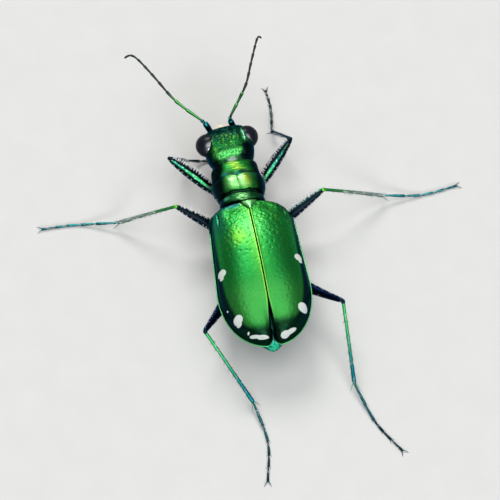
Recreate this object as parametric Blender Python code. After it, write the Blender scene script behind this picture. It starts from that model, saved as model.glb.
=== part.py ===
"""A six-spotted green tiger beetle at life size, standing still on level ground.

The beetle faces -Y, its left side is at +X and its feet stand on z = 0. Sizes are in
millimetres and turn into metres as each mesh is made. The body is lofted through
cross-sections, and every limb is a loft that follows the limb from joint to joint.
"""

import math

import bmesh
import bpy
from mathutils import Vector

MM = 0.001
GAP = 0.28  # between pieces that meet in life
MIDDLE = Vector((-0.33, 0.33, 0.0))  # of the whole beetle's box, seen from above

# Body
PROTHORAX_X = 0.26  # the fore-body bends to the beetle's left
HEAD_X = 0.42

# Wing cases
WING_FRONT = -2.05
WING_REAR = 5.4
WING_HALF = 2.36  # half the width across both, at its greatest
WING_WIDEST = 2.4  # where that is, along Y
WING_SPREAD = 0.053  # how much each side widens for each millimetre back to there
WING_TOP = 4.15
WING_TOP_Y = 1.0
WING_TOP_FRONT_DROP = 0.4
WING_TOP_REAR_DROP = 1.65
WING_REAR_CURVE = 3.2  # how late the top falls away to the rear
WING_REAR_ROUND = 2.2  # 2 makes the rear end an ellipse
WING_EDGE = 2.6  # height of the side edges
WING_EDGE_LIFT = 0.3  # at the shoulders
WING_EDGE_DROP = 0.25  # at the rear end
WING_WALL = 0.5
SHOULDER = 0.9  # length of the rounded shoulder
SHOULDER_HALF = 0.78  # share of the width that is left at the very front
SCUTELLUM_HALF = 0.36
SCUTELLUM_LENGTH = 0.5
SCUTELLUM_TIP = 0.05

# Underside
VENTER = 1.6
ABDOMEN_FRONT = 0.96
ABDOMEN_REAR = 5.3
ABDOMEN_HALF = 1.96
ABDOMEN_LIFT = 0.35  # of its underside towards the tip
ABDOMEN_TIP = 0.5  # length of the rounded tip behind the last belly plate
THORAX_REAR = ABDOMEN_FRONT - GAP
THORAX_FRONT_HALF = 1.35
THORAX_REAR_HALF = 2.0
THORAX_SAG = 0.12
BELLY_CURVE = 1.5  # 1 is an ellipse, and more draws the sides in
STERNITES = 6
STERNITE_STEP = 0.05  # how far each belly plate stands over the next
STERNITE_EDGE = 0.9  # where along a plate it stands out most

# Prothorax and head, as (y, half width, top, bottom)
PROTHORAX = (
    (-4.6, 1.08, 3.52, 2.05),
    (-4.42, 1.2, 3.62, 1.9),
    (-4.2, 1.16, 3.5, 1.8),
    (-3.85, 1.33, 3.68, 1.7),
    (-3.35, 1.34, 3.74, 1.65),
    (-3.0, 1.2, 3.66, 1.65),
    (-2.84, 1.08, 3.48, 1.68),
    (-2.6, 1.14, 3.66, 1.72),
    (-2.36, 1.12, 3.6, 1.8),
)
HEAD = (
    (-4.88, 1.0, 3.44, 2.1),
    (-5.1, 1.16, 3.56, 1.95),
    (-5.6, 1.26, 3.64, 1.85),
    (-6.1, 1.2, 3.62, 1.85),
    (-6.5, 1.12, 3.52, 1.9),
    (-6.76, 0.98, 3.34, 1.95),
    (-6.88, 0.86, 3.12, 2.0),
    (-6.96, 0.7, 2.58, 2.02),
    (-7.08, 0.62, 2.5, 2.1),
)
SQUARENESS = 2.3  # of the body's cross-sections, where 2 is an ellipse
NARROWEST = 0.35  # share of a section's width that its narrower inner part keeps

# Eyes, as domes on the sides of the head
EYE_HALF = (0.72, 0.65, 0.6)
EYE_ROOT = Vector((0.9, -6.17, 3.0))  # from the middle of the head
EYE_SIDES = 16
EYE_BANDS = 12

# Mouth, as points of the left half seen from the middle of the head
LABRUM_BACK = -7.3
LABRUM_FRONT = -7.56
LABRUM_HALF = 0.52
LABRUM_TOP = 2.5
LABRUM_THICK = 0.34
LABRUM_ROUND = 0.16  # how far its corners stand back
LABRUM_SLOPE = 0.1
MANDIBLE = ((0.48, -6.88, 1.66), (0.64, -7.24, 1.52), (0.48, -7.58, 1.28), (0.18, -7.76, 1.08))
MANDIBLE_RADII = (0.25, 0.23, 0.16, 0.06)
MAXILLA = ((0.86, -6.33, 1.6), (1.04, -6.62, 1.35), (1.08, -6.95, 1.08), (0.98, -7.2, 0.9))
MAXILLA_RADII = (0.22, 0.24, 0.22, 0.12)
MENTUM = Vector((0.0, -6.15, 1.4))
MENTUM_HALF = (0.34, 0.3, 0.2)
LABIAL_PALP = ((0.12, -6.3, 1.36), (0.25, -6.6, 1.16), (0.28, -6.9, 0.96), (0.26, -7.08, 0.82))
LABIAL_PALP_RADII = (0.16, 0.17, 0.17, 0.1)

# Antennae, as points that each passes through
ANTENNA = {
    "left": (
        (1.25, -7.24, 2.84),
        (1.52, -7.24, 3.25),
        (2.38, -8.0, 3.7),
        (2.96, -8.6, 4.0),
        (3.75, -9.8, 4.4),
        (4.4, -10.77, 4.6),
        (4.74, -11.02, 4.6),
        (5.0, -10.96, 4.45),
    ),
    "right": (
        (0.06, -7.34, 2.88),
        (0.18, -7.24, 3.25),
        (0.06, -7.34, 3.45),
        (-0.5, -8.0, 4.0),
        (-0.91, -8.5, 4.5),
        (-1.28, -9.3, 5.1),
        (-1.77, -10.3, 5.8),
        (-1.97, -10.25, 5.65),
    ),
}
ANTENNA_ROOT = 0.25
ANTENNA_TIP = 0.12
ANTENNA_SHARES = (0.12, 0.03, 0.15, 0.12, 0.1, 0.1, 0.09, 0.08, 0.08, 0.07, 0.06)
ANTENNA_WAIST = 0.84  # girth at the start of a segment, as a share of that at its end

# Legs: knee, ankle, middle of the foot and toe
FOOT = 0.19  # height of a foot's middle line where it lies on the ground
ANKLE = 0.46
LEGS = {
    "front_left": (
        (3.54, -5.7, 2.85),
        (2.6, -6.8, ANKLE),
        (1.4, -6.82, FOOT),
        (-0.1, -6.98, FOOT),
    ),
    "front_right": (
        (-2.78, -5.92, 2.7),
        (-2.11, -7.79, ANKLE),
        (-2.34, -9.4, FOOT),
        (-2.26, -10.58, FOOT),
    ),
    "mid_left": (
        (3.59, -2.95, 2.7),
        (6.57, -3.71, ANKLE),
        (8.55, -4.14, FOOT),
        (10.46, -4.19, FOOT),
    ),
    "mid_right": (
        (-3.89, -2.72, 2.7),
        (-7.18, -3.09, ANKLE),
        (-9.25, -3.02, FOOT),
        (-11.09, -3.28, FOOT),
    ),
    "hind_left": (
        (3.24, 4.19, 2.7),
        (1.32, 7.4, ANKLE),
        (0.95, 9.4, FOOT),
        (1.3, 11.5, FOOT),
    ),
    "hind_right": (
        (-3.76, 3.65, 2.7),
        (-3.76, 7.22, ANKLE),
        (-4.5, 9.3, FOOT),
        (-5.5, 10.95, FOOT),
    ),
}
COXA = {  # middle, from the middle line of the body, and half sizes
    "front": (Vector((0.56, -3.45, 1.12)), (0.46, 0.5, 0.34)),
    "mid": (Vector((0.57, -1.4, 1.0)), (0.46, 0.5, 0.34)),
    "hind": (Vector((0.76, 0.5, 0.98)), (0.62, 0.42, 0.3)),
}
FEMUR_GIRTH = {"front": 0.33, "mid": 0.29, "hind": 0.31}
FEMUR_SHAPE = (
    (0.0, 0.6),
    (0.05, 0.9),
    (0.12, 0.72),
    (0.32, 1.0),
    (0.65, 0.92),
    (0.9, 0.84),
    (0.97, 0.66),
    (1.0, 0.4),
)
TIBIA_SHAPE = ((0.0, 0.5), (0.03, 0.8), (0.09, 1.0), (0.2, 0.92), (0.7, 0.94), (0.96, 1.04), (1.0, 0.8))
KNEE_GIRTH = 0.12
HIND_BOW = -0.2  # the hind thighs pass under the edges of the belly
TIBIA_GIRTH = 0.25
TARSUS_GIRTH = 0.24
TARSUS_TIP = 0.17
TARSOMERES = (0.29, 0.2, 0.175, 0.145, 0.19)
TARSUS_WAIST = 0.8
SPUR = 0.5
SPUR_ROOT = 0.45  # how far up the shin a spur starts
SPUR_APART = 0.16
SPUR_SPREAD = 1.8  # how steeply a pair leans apart, where 0 is straight ahead
CLAW = 0.42
CLAW_ROOT = 0.12
CLAW_APART = 0.05
CLAW_SPREAD = 0.6
POINT_GIRTH = 0.035  # of the tips
HOOK_GIRTH = 0.1  # of a spur or claw at its root
HOOK_BEND = 0.35

# Finishes, as (colour, roughness, metallic)
GREEN = ((0.02, 0.36, 0.05), 0.3, 1.0)
MINT = ((0.1, 0.55, 0.1), 0.28, 1.0)
NAVY = ((0.01, 0.06, 0.09), 0.3, 1.0)
TEAL = ((0.01, 0.22, 0.2), 0.3, 1.0)
EYE_BLACK = ((0.03, 0.03, 0.035), 0.25, 0.0)
CREAM = ((0.72, 0.66, 0.5), 0.45, 0.0)
BROWN = ((0.06, 0.045, 0.035), 0.5, 0.0)

SIDES = 8  # round a limb


def clear_scene():
    for thing in list(bpy.data.objects):
        bpy.data.objects.remove(thing)


def power(value, exponent):
    """The size of a value raised to an exponent, with the value's sign."""
    return math.copysign(abs(value) ** exponent, value)


def mix(first, second, share):
    return first + (second - first) * share


def between(keys, share):
    """The value at a share, read from (share, value) keys."""
    for (left, low), (right, high) in zip(keys, keys[1:]):
        if share <= right:
            return mix(low, high, (share - left) / (right - left))
    return keys[-1][1]


def spaced(first, last, count):
    return [mix(first, last, step / (count - 1)) for step in range(count)]


def curve(points, count):
    """Evenly numbered points on a smooth curve through the given ones."""
    points = [Vector(point) for point in points]
    points = [points[0] * 2 - points[1]] + points + [points[-1] * 2 - points[-2]]
    spans = len(points) - 3
    path = []
    for place in spaced(0.0, spans, count):
        span = min(int(place), spans - 1)
        t = place - span
        a, b, c, d = points[span : span + 4]
        bend = (a * 2 - b * 5 + c * 4 - d) * t**2 + (b * 3 - a - c * 3 + d) * t**3
        path.append(b + ((c - a) * t + bend) / 2)
    return path


def lengths(path):
    """How far along a path each of its points is, as a share of the whole."""
    total = [0.0]
    for first, second in zip(path, path[1:]):
        total.append(total[-1] + (second - first).length)
    return [length / total[-1] for length in total]


def at_shares(points, shares):
    """Points of the smooth curve through the given ones, at these shares of its length."""
    path = curve(points, 81)
    known = lengths(path)
    found = []
    for share in shares:
        last = next((i for i, length in enumerate(known) if length > share), len(path) - 1)
        into = (share - known[last - 1]) / (known[last] - known[last - 1])
        found.append(path[last - 1].lerp(path[last], into))
    return found


def loft(rings):
    """A closed mesh through rings of equal length, capped at both ends."""
    bm = bmesh.new()
    loops = [[bm.verts.new(Vector(point) * MM) for point in ring] for ring in rings]
    for first, second in zip(loops, loops[1:]):
        for i, corner in enumerate(first):
            bm.faces.new((first[i - 1], corner, second[i], second[i - 1]))
    bm.faces.new(reversed(loops[0]))
    bm.faces.new(loops[-1])
    if bm.calc_volume(signed=True) < 0:
        bmesh.ops.reverse_faces(bm, faces=bm.faces)
    return bm


def tube(path, radii, sides=SIDES):
    """Rings square to a path, with a radius for each of its points."""
    side = Vector((0.0, 0.0, 1.0))
    rings = []
    for i, point in enumerate(path):
        ahead = (path[min(i + 1, len(path) - 1)] - path[max(i - 1, 0)]).normalized()
        side = (side - ahead * side.dot(ahead)).normalized()
        across = ahead.cross(side)
        ring = []
        for step in range(sides):
            turn = math.tau * step / sides
            ring.append(point + (side * math.cos(turn) + across * math.sin(turn)) * radii[i])
        rings.append(ring)
    return rings


def above_ground(rings):
    """The rings with whatever would reach under the ground pressed flat onto it."""
    return [[Vector((point.x, point.y, max(point.z, 0.0))) for point in ring] for ring in rings]


def oval(y, middle, half, top, bottom, sides=20):
    """A rounded cross-section of the body, square to Y."""
    height = (top - bottom) / 2
    ring = []
    for step in range(sides):
        turn = math.tau * step / sides
        x = middle + half * power(math.sin(turn), 2 / SQUARENESS)
        z = bottom + height + height * power(math.cos(turn), 2 / SQUARENESS)
        ring.append(Vector((x, y, z)))
    return ring


def ellipsoid(center, half, sides=12, bands=8):
    bm = bmesh.new()
    bmesh.ops.create_uvsphere(bm, u_segments=sides, v_segments=bands, radius=1.0)
    for corner in bm.verts:
        for axis in range(3):
            corner.co[axis] = (center[axis] + corner.co[axis] * half[axis]) * MM
    return bm


def solid(name, bm, finish=None, origin=(0.0, 0.0, 0.0)):
    """An object of its own from a mesh, with its origin at a given point."""
    mesh = bpy.data.meshes.new(name)
    bmesh.ops.translate(bm, verts=bm.verts, vec=-Vector(origin) * MM)
    bm.to_mesh(mesh)
    bm.free()
    thing = bpy.data.objects.new(name, mesh)
    bpy.context.scene.collection.objects.link(thing)
    thing.location = Vector(origin) * MM
    if finish:
        mesh.materials.append(material(name, finish))
        mesh.shade_smooth()
        mesh.set_sharp_from_angle(angle=math.radians(40))
        thing.parent = bpy.data.objects["beetle"]
    return thing


def material(name, finish):
    colour, roughness, metallic = finish
    made = bpy.data.materials.new(name)
    made.use_nodes = True
    shader = made.node_tree.nodes["Principled BSDF"]
    shader.inputs["Base Color"].default_value = (*colour, 1.0)
    shader.inputs["Roughness"].default_value = roughness
    shader.inputs["Metallic"].default_value = metallic
    made.diffuse_color = (*colour, 1.0)
    return made


def combined(main, others, operation):
    """The mesh of one Boolean on a collection of pieces, keeping its largest closed surface."""
    pieces = bpy.data.collections.new("pieces")
    base = solid("base", main)
    for bm in others:
        piece = solid("piece", bm)
        bpy.context.scene.collection.objects.unlink(piece)
        pieces.objects.link(piece)
    boolean = base.modifiers.new("joined", "BOOLEAN")
    boolean.operation = operation
    boolean.operand_type = "COLLECTION"
    boolean.collection = pieces
    bpy.context.view_layer.update()
    evaluated = base.evaluated_get(bpy.context.evaluated_depsgraph_get())
    result = bmesh.new()
    result.from_mesh(evaluated.to_mesh())
    for thing in [base, *pieces.objects]:
        bpy.data.objects.remove(thing)
    bpy.data.collections.remove(pieces)
    keep_largest(result)
    return result


def keep_largest(bm):
    """Deletes every closed surface but the one with the most faces."""
    surfaces = []
    left = set(bm.faces)
    while left:
        found = set()
        edge = [left.pop()]
        while edge:
            face = edge.pop()
            found.add(face)
            near = {other for line in face.edges for other in line.link_faces} & left
            left -= near
            edge.extend(near)
        surfaces.append(found)
    surfaces.sort(key=len)
    for surface in surfaces[:-1]:
        bmesh.ops.delete(bm, geom=list(surface), context="FACES")


def wing_half(y):
    """Half the width across both wing cases."""
    half = WING_HALF - WING_SPREAD * max(WING_WIDEST - y, 0.0)
    into = min((y - WING_FRONT) / SHOULDER, 1.0)
    half *= mix(SHOULDER_HALF, 1.0, math.sqrt(1 - (1 - into) ** 2))
    past = max(y - WING_WIDEST, 0.0) / (WING_REAR - WING_WIDEST)
    return half * (1 - past**WING_REAR_ROUND) ** (1 / WING_REAR_ROUND)


def wing_top(y):
    """Height of the wing cases at the middle line."""
    ahead = max(WING_TOP_Y - y, 0.0) / (WING_TOP_Y - WING_FRONT)
    behind = max(y - WING_TOP_Y, 0.0) / (WING_REAR - WING_TOP_Y)
    return WING_TOP - WING_TOP_FRONT_DROP * ahead**2 - WING_TOP_REAR_DROP * behind**WING_REAR_CURVE


def wing_edge(y):
    """Height of the wing cases' side edges."""
    shoulder = max(1 - (y - WING_FRONT) / SHOULDER, 0.0)
    rear = max(y - WING_WIDEST, 0.0) / (WING_REAR - WING_WIDEST)
    return WING_EDGE + WING_EDGE_LIFT * shoulder**2 - WING_EDGE_DROP * rear**2


def wing_inside(y):
    """Half width and height of the hollow under the wing cases, over their edge."""
    half = max(wing_half(y) - WING_WALL, NARROWEST * wing_half(y))
    return half, max(wing_top(y) - wing_edge(y) - WING_WALL, 0.0)


def quarter(first, last, low, height, count, outwards=True):
    """A quarter of a rounded outline, from over its first x to its last x."""
    turns = spaced(0.0, math.pi / 2, count)
    outline = []
    for turn in turns if outwards else reversed(turns):
        x = mix(first, last, power(math.sin(turn), 2 / SQUARENESS))
        outline.append((x, low + height * power(math.cos(turn), 2 / SQUARENESS)))
    return outline


def wing_case(side):
    """One wing case, as a curved wall from the middle line to its side edge."""
    stations = spaced(WING_FRONT, WING_FRONT + SHOULDER, 5)
    stations += spaced(WING_FRONT + 1.3 * SHOULDER, WING_WIDEST + 1.2, 8)
    stations += spaced(WING_WIDEST + 1.5, WING_REAR - 0.1, 7)
    stations.append(WING_REAR - 0.03)
    rings = []
    for y in stations:
        half, edge = wing_half(y), wing_edge(y)
        hollow, hollow_height = wing_inside(y)
        notch = max(1 - (y - WING_FRONT) / (SCUTELLUM_LENGTH + GAP), 0.0)
        seam = GAP / 2 + notch * (SCUTELLUM_HALF + GAP / 2)
        seam = min(seam, half * 0.45)
        hollow = max(hollow, mix(seam, half, NARROWEST))
        outline = quarter(seam, half, edge, wing_top(y) - edge, 10)
        outline += quarter(seam, hollow, edge, hollow_height, 7, outwards=False)
        rings.append([Vector((side * x, y, z)) for x, z in outline])
    return loft(rings)


def under_body(y, half, bottom):
    """A cross-section that bulges below the wing cases and fills the hollow under them."""
    hollow, height = wing_inside(y)
    hollow = min(max(hollow - GAP, NARROWEST * half), 0.9 * half)
    shelf = wing_edge(y) - GAP
    right = []
    for turn in spaced(0.0, math.pi / 2, 9):
        depth = (shelf - bottom) * power(math.cos(turn), BELLY_CURVE)
        right.append((half * math.sin(turn), shelf - depth))
    right += quarter(0.0, hollow, shelf, height, 5, outwards=False)
    left = [(-x, z) for x, z in reversed(right[1:-1])]
    return [Vector((x, y, z)) for x, z in right + left]


def belly(y, step):
    past = max(y - WING_WIDEST, 0.0) / (ABDOMEN_REAR - WING_WIDEST)
    half = ABDOMEN_HALF * math.sqrt(1 - past**2)
    bottom = VENTER + ABDOMEN_LIFT * past**2
    return under_body(y, half + step, bottom - step)


def abdomen():
    """The belly, whose plates each stand a little over the next."""
    rings = []
    last_edge = ABDOMEN_REAR - ABDOMEN_TIP
    plate = (last_edge - ABDOMEN_FRONT) / STERNITES
    for front in spaced(ABDOMEN_FRONT, last_edge - plate, STERNITES):
        rings.append(belly(front, 0.0))
        rings.append(belly(front + plate * STERNITE_EDGE, STERNITE_STEP))
    for y in spaced(last_edge, ABDOMEN_REAR - 0.02, 5):
        rings.append(belly(y, 0.0))
    return loft(rings)


def pterothorax():
    """The part of the body under the front of the wing cases, which carries four of the legs."""
    rings = []
    for y in spaced(WING_FRONT, THORAX_REAR, 9):
        into = (y - WING_FRONT) / (THORAX_REAR - WING_FRONT)
        half = mix(THORAX_FRONT_HALF, THORAX_REAR_HALF, math.sin(into * math.pi / 2))
        rings.append(under_body(y, half, VENTER - THORAX_SAG * math.sin(into * math.pi)))
    return loft(rings)


def scutellum():
    """The small triangle between the front ends of the wing cases."""
    top = wing_top(WING_FRONT)
    rear = WING_FRONT + SCUTELLUM_LENGTH
    low = wing_edge(WING_FRONT) + wing_inside(WING_FRONT)[1]
    corners = [(SCUTELLUM_HALF, WING_FRONT), (SCUTELLUM_TIP, rear)]
    corners += [(-x, y) for x, y in reversed(corners)]
    levels = ((0.7, low), (1.0, top - 0.1), (0.8, top))
    return loft([[Vector((x * grow, y, z)) for x, y in corners] for grow, z in levels])


def dome(side, grow):
    """An eye, or with some growth the room that it takes in the head."""
    root = Vector((HEAD_X + side * EYE_ROOT.x, EYE_ROOT.y, EYE_ROOT.z))
    bm = ellipsoid(root, [half + grow for half in EYE_HALF], EYE_SIDES, EYE_BANDS)
    cut = Vector((root.x - side * grow, root.y, root.z)) * MM
    bmesh.ops.bisect_plane(
        bm,
        geom=[*bm.verts, *bm.edges, *bm.faces],
        plane_co=cut,
        plane_no=(side, 0.0, 0.0),
        clear_inner=True,
    )
    rim = [edge for edge in bm.edges if edge.is_boundary]
    bmesh.ops.contextual_create(bm, geom=rim)
    bmesh.ops.recalc_face_normals(bm, faces=bm.faces)
    return bm


def head():
    whole = loft([oval(y, HEAD_X, half, top, bottom) for y, half, top, bottom in HEAD])
    return combined(whole, [dome(1, GAP), dome(-1, GAP)], "DIFFERENCE")


def labrum():
    """The pale lip plate, rounded at its front corners."""
    rings = []
    for x in spaced(-LABRUM_HALF, LABRUM_HALF, 9):
        out = (x / LABRUM_HALF) ** 2
        front = LABRUM_FRONT + LABRUM_ROUND * out
        top = LABRUM_TOP - LABRUM_SLOPE * out
        low = top - LABRUM_THICK
        corners = ((LABRUM_BACK, top), (front, top - LABRUM_SLOPE), (front, low), (LABRUM_BACK, low))
        rings.append([Vector((HEAD_X + x, y, z)) for y, z in corners])
    return loft(rings)


def mouth_piece(points, radii, side, sides=SIDES):
    """A tapered piece of the mouth, given for the left and mirrored for the right."""
    placed = [Vector((HEAD_X + side * x, y, z)) for x, y, z in points]
    count = 3 * (len(points) - 1) + 1
    keys = list(zip(spaced(0.0, 1.0, len(radii)), radii))
    girths = [between(keys, share) for share in spaced(0.0, 1.0, count)]
    return loft(tube(curve(placed, count), girths, sides))


def labium():
    chin = ellipsoid(MENTUM + Vector((HEAD_X, 0.0, 0.0)), MENTUM_HALF)
    palps = [mouth_piece(LABIAL_PALP, LABIAL_PALP_RADII, side, 6) for side in (1, -1)]
    return combined(chin, palps, "UNION")


def jointed(points, shares, girth, tip, waist, sides=SIDES):
    """Rings of a limb made of short segments, each narrow at its start and full near its end."""
    stations, radii = [], []
    start = 0.0
    for share in shares:
        for into, swell in ((0.0, waist), (0.45, 0.94), (0.88, 1.0)):
            stations.append(start + share * into)
            radii.append(mix(girth, tip, stations[-1]) * swell)
        start += share
    stations.append(1.0)
    radii.append(tip * waist)
    return tube(at_shares(points, stations), radii, sides)


def antenna(side):
    return loft(jointed(ANTENNA[side], ANTENNA_SHARES, ANTENNA_ROOT, ANTENNA_TIP, ANTENNA_WAIST))


def knee_room(hip, knee, ankle):
    """How far each side of a bent knee stops short of it, so that the two stay apart."""
    half_bend = (hip - knee).angle(ankle - knee) / 2
    return (GAP / 2 + KNEE_GIRTH * math.cos(half_bend)) / math.sin(half_bend)


def limb(start, end, before, after, shape, girth, bow=0.0):
    """A limb's length between two joints, stopping short of them by the room given."""
    ahead = (end - start).normalized()
    start, end = start + ahead * before, end - ahead * after
    stations = [share for share, _ in shape]
    path = [start.lerp(end, t) + Vector((0.0, 0.0, bow * math.sin(math.pi * t))) for t in stations]
    return tube(path, [girth * factor for _, factor in shape])


def hooks(end, ahead, root, apart, spread, length):
    """A pair of spurs or claws near the end of a limb, each bent down to a point."""
    across = ahead.cross(Vector((0.0, 0.0, 1.0))).normalized()
    pair = []
    for side in (across, -across):
        start = end - ahead * root + side * apart
        way = (ahead + side * spread).normalized()
        shares = spaced(0.0, 1.0, 4)
        path = [start + (way * t - Vector((0.0, 0.0, HOOK_BEND * t**2))) * length for t in shares]
        radii = [mix(HOOK_GIRTH, POINT_GIRTH, t) for t in shares]
        pair.append(loft(above_ground(tube(path, radii, 5))))
    return pair


def tibia(knee, ankle, room):
    """A shin with the two spurs at its end."""
    shin = loft(limb(knee, ankle, room, GAP / 2, TIBIA_SHAPE, TIBIA_GIRTH))
    ahead = (ankle - knee).normalized()
    return combined(shin, hooks(ankle, ahead, SPUR_ROOT, SPUR_APART, SPUR_SPREAD, SPUR), "UNION")


def tarsus(ankle, ball, toe):
    """Five foot segments and a pair of claws, flat where they stand on the ground."""
    start = ankle + (ball - ankle).normalized() * GAP
    foot = jointed([start, ball, toe], TARSOMERES, TARSUS_GIRTH, TARSUS_TIP, TARSUS_WAIST)
    ahead = (toe - ball).normalized()
    claws = hooks(toe, ahead, CLAW_ROOT, CLAW_APART, CLAW_SPREAD, CLAW)
    return combined(loft(above_ground(foot)), claws, "UNION")


def build_leg(name, joints):
    knee, ankle, ball, toe = (Vector(joint) for joint in joints)
    pair, side = name.split("_")
    sign = 1 if side == "left" else -1
    middle, half = COXA[pair]
    bend = PROTHORAX_X if pair == "front" else 0.0
    coxa = Vector((bend + sign * middle.x, middle.y, middle.z))
    ahead = (knee - coxa).normalized()
    reach = 1 / Vector((ahead.x / half[0], ahead.y / half[1], ahead.z / half[2])).length
    hip = coxa + ahead * (reach + GAP)
    room = knee_room(hip, knee, ankle)
    bow = HIND_BOW if pair == "hind" else 0.0
    thigh = limb(hip, knee, 0.0, room, FEMUR_SHAPE, FEMUR_GIRTH[pair], bow)
    solid("coxa_" + name, ellipsoid(coxa, half), NAVY, coxa)
    solid("femur_" + name, loft(thigh), NAVY, hip)
    solid("tibia_" + name, tibia(knee, ankle, room), TEAL, knee)
    solid("tarsus_" + name, tarsus(ankle, ball, toe), TEAL, ankle)


def build_body():
    prothorax = [oval(y, PROTHORAX_X, half, top, bottom) for y, half, top, bottom in PROTHORAX]
    solid("prothorax", loft(prothorax), MINT, (PROTHORAX_X, PROTHORAX[-1][0], VENTER))
    solid("pterothorax", pterothorax(), NAVY, (0.0, WING_FRONT, VENTER))
    solid("scutellum", scutellum(), MINT, (0.0, WING_FRONT, WING_TOP))
    solid("abdomen", abdomen(), NAVY, (0.0, ABDOMEN_FRONT, VENTER))
    for side, sign in (("left", 1), ("right", -1)):
        solid("elytron_" + side, wing_case(sign), GREEN, (0.0, WING_FRONT, WING_EDGE))


def build_head():
    neck = (HEAD_X, HEAD[0][0], EYE_ROOT.z)
    solid("head", head(), GREEN, neck)
    solid("labrum", labrum(), CREAM, neck)
    solid("labium", labium(), BROWN, neck)
    for side, sign in (("left", 1), ("right", -1)):
        solid("eye_" + side, dome(sign, 0.0), EYE_BLACK, neck)
        solid("mandible_" + side, mouth_piece(MANDIBLE, MANDIBLE_RADII, sign), CREAM, neck)
        solid("maxilla_" + side, mouth_piece(MAXILLA, MAXILLA_RADII, sign), BROWN, neck)
        solid("antenna_" + side, antenna(side), TEAL, ANTENNA[side][0])


def main():
    clear_scene()
    beetle = bpy.data.objects.new("beetle", None)
    bpy.context.scene.collection.objects.link(beetle)
    beetle.location = -MIDDLE * MM
    build_body()
    build_head()
    for name, joints in LEGS.items():
        build_leg(name, joints)


main()
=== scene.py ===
import math

import bmesh
import bpy
import numpy as np
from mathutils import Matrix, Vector


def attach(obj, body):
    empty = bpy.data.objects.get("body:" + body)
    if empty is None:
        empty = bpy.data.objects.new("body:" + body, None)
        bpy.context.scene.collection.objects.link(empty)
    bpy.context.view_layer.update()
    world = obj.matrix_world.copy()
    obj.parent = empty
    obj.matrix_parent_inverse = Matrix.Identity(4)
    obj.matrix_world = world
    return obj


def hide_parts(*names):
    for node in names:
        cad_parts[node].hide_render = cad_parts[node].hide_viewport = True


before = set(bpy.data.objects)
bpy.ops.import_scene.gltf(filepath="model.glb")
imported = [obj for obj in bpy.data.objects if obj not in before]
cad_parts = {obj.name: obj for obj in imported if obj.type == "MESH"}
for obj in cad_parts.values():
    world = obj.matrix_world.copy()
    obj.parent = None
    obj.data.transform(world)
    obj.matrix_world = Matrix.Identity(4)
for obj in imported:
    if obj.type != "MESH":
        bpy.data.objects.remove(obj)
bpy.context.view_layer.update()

# Sizes are in millimetres, seen from the middle line of the wing cases, as in the solids.
# The beetle faces -Y and its left side is at +X.
MM = 0.001
WELD = 2e-7  # points that are nearer than this, in metres, become one
MIDDLE = np.array((-0.33, 0.33, 0.0))
UP = np.array((0.0, 0.0, 1.0))
SIDES = (("left", 1), ("right", -1))
RANDOM = np.random.default_rng(11)

PROTHORAX_X = 0.26
HEAD_X = 0.42

# Wing cases
WING_FRONT = -2.05
WING_REAR = 5.4
WING_HALF = 2.36
WING_WIDEST = 2.4
WING_SPREAD = 0.053  # how much narrower each wing case gets for each millimetre to the front
WING_TOP = 4.15
WING_TOP_Y = 1.0
WING_TOP_FRONT_DROP = 0.4
WING_TOP_REAR_DROP = 1.65
WING_REAR_CURVE = 3.2  # power of the back's fall to the rear
WING_REAR_ROUND = 2.2  # power of the rear end's outline
WING_EDGE = 2.6
WING_EDGE_LIFT = 0.3
WING_EDGE_DROP = 0.25
SHOULDER = 0.9  # length of the shoulder's curve, which starts at the next share of the half width
SHOULDER_HALF = 0.78
SCUTELLUM_HALF = 0.34
SCUTELLUM_LENGTH = 0.5
SCUTELLUM_SHELL = 0.22
SQUARENESS = 2.3  # power of the ovals round the body, 2 for an ellipse
WING_ROWS = 230
SEAM_COLUMNS = 13
BACK_COLUMNS = 91  # from the seam to the side wall's foot
RIM_COLUMNS = 26
FAN_FROM = 3.4  # behind here the rows spread round the rear end
FAN_TO = 4.9
SEAM = 0.009
SEAM_GAPE = 0.05  # how far the seam opens towards the rear
WALL_IN = 0.1  # how far the side wall's foot lies in from the outline
WING_END_X = 0.012
# The rolled edges, as (outwards, upwards), and the front one, as (forwards, down)
FRONT_ROLL = ((0.02, 0.3), (0.06, 0.14), (0.05, 0.05), (0.02, 0.01))
SEAM_EDGE = (
    (0.0, -0.3),
    (0.0, -0.08),
    (0.004, -0.022),
    (0.014, 0.0),
    (0.032, 0.012),
    (0.056, 0.014),
    (0.09, 0.004),
    (0.14, 0.0),
)
SIDE_RIM = (
    (-0.09, 0.08),
    (-0.062, 0.03),
    (-0.038, 0.034),
    (-0.012, 0.036),
    (0.0, 0.01),
    (-0.008, -0.03),
    (-0.05, -0.06),
    (-0.16, -0.06),
    (-0.32, -0.02),
    (-0.5, 0.05),
)
# The wide pits of the shell stand in rows, strayed by a random draw
PIT_STEP_X = 0.34
PIT_STEP_Y = 0.33
PIT_STRAY = 0.11
PIT_HALF = 0.055
PIT_DEPTHS = (0.018, 0.008)  # in front of and behind the next place
PIT_CHANGE = 0.8
# How far the seam strays from the middle line, as (y, x)
SEAM_LINE = ((-2.3, 0.08), (-1.2, 0.06), (1.5, 0.0), (3.5, -0.03), (5.4, -0.05))
# How far each shoulder lies out and back of a plain outline, as (x, y)
SHOULDER_SHIFT = {"left": (0.08, 0.03), "right": (0.0, 0.17)}
PARTING = 0.42  # the rounded gap between the rear ends is this deep, and goes as far to either side
WING_SHELL = 0.04

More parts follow.
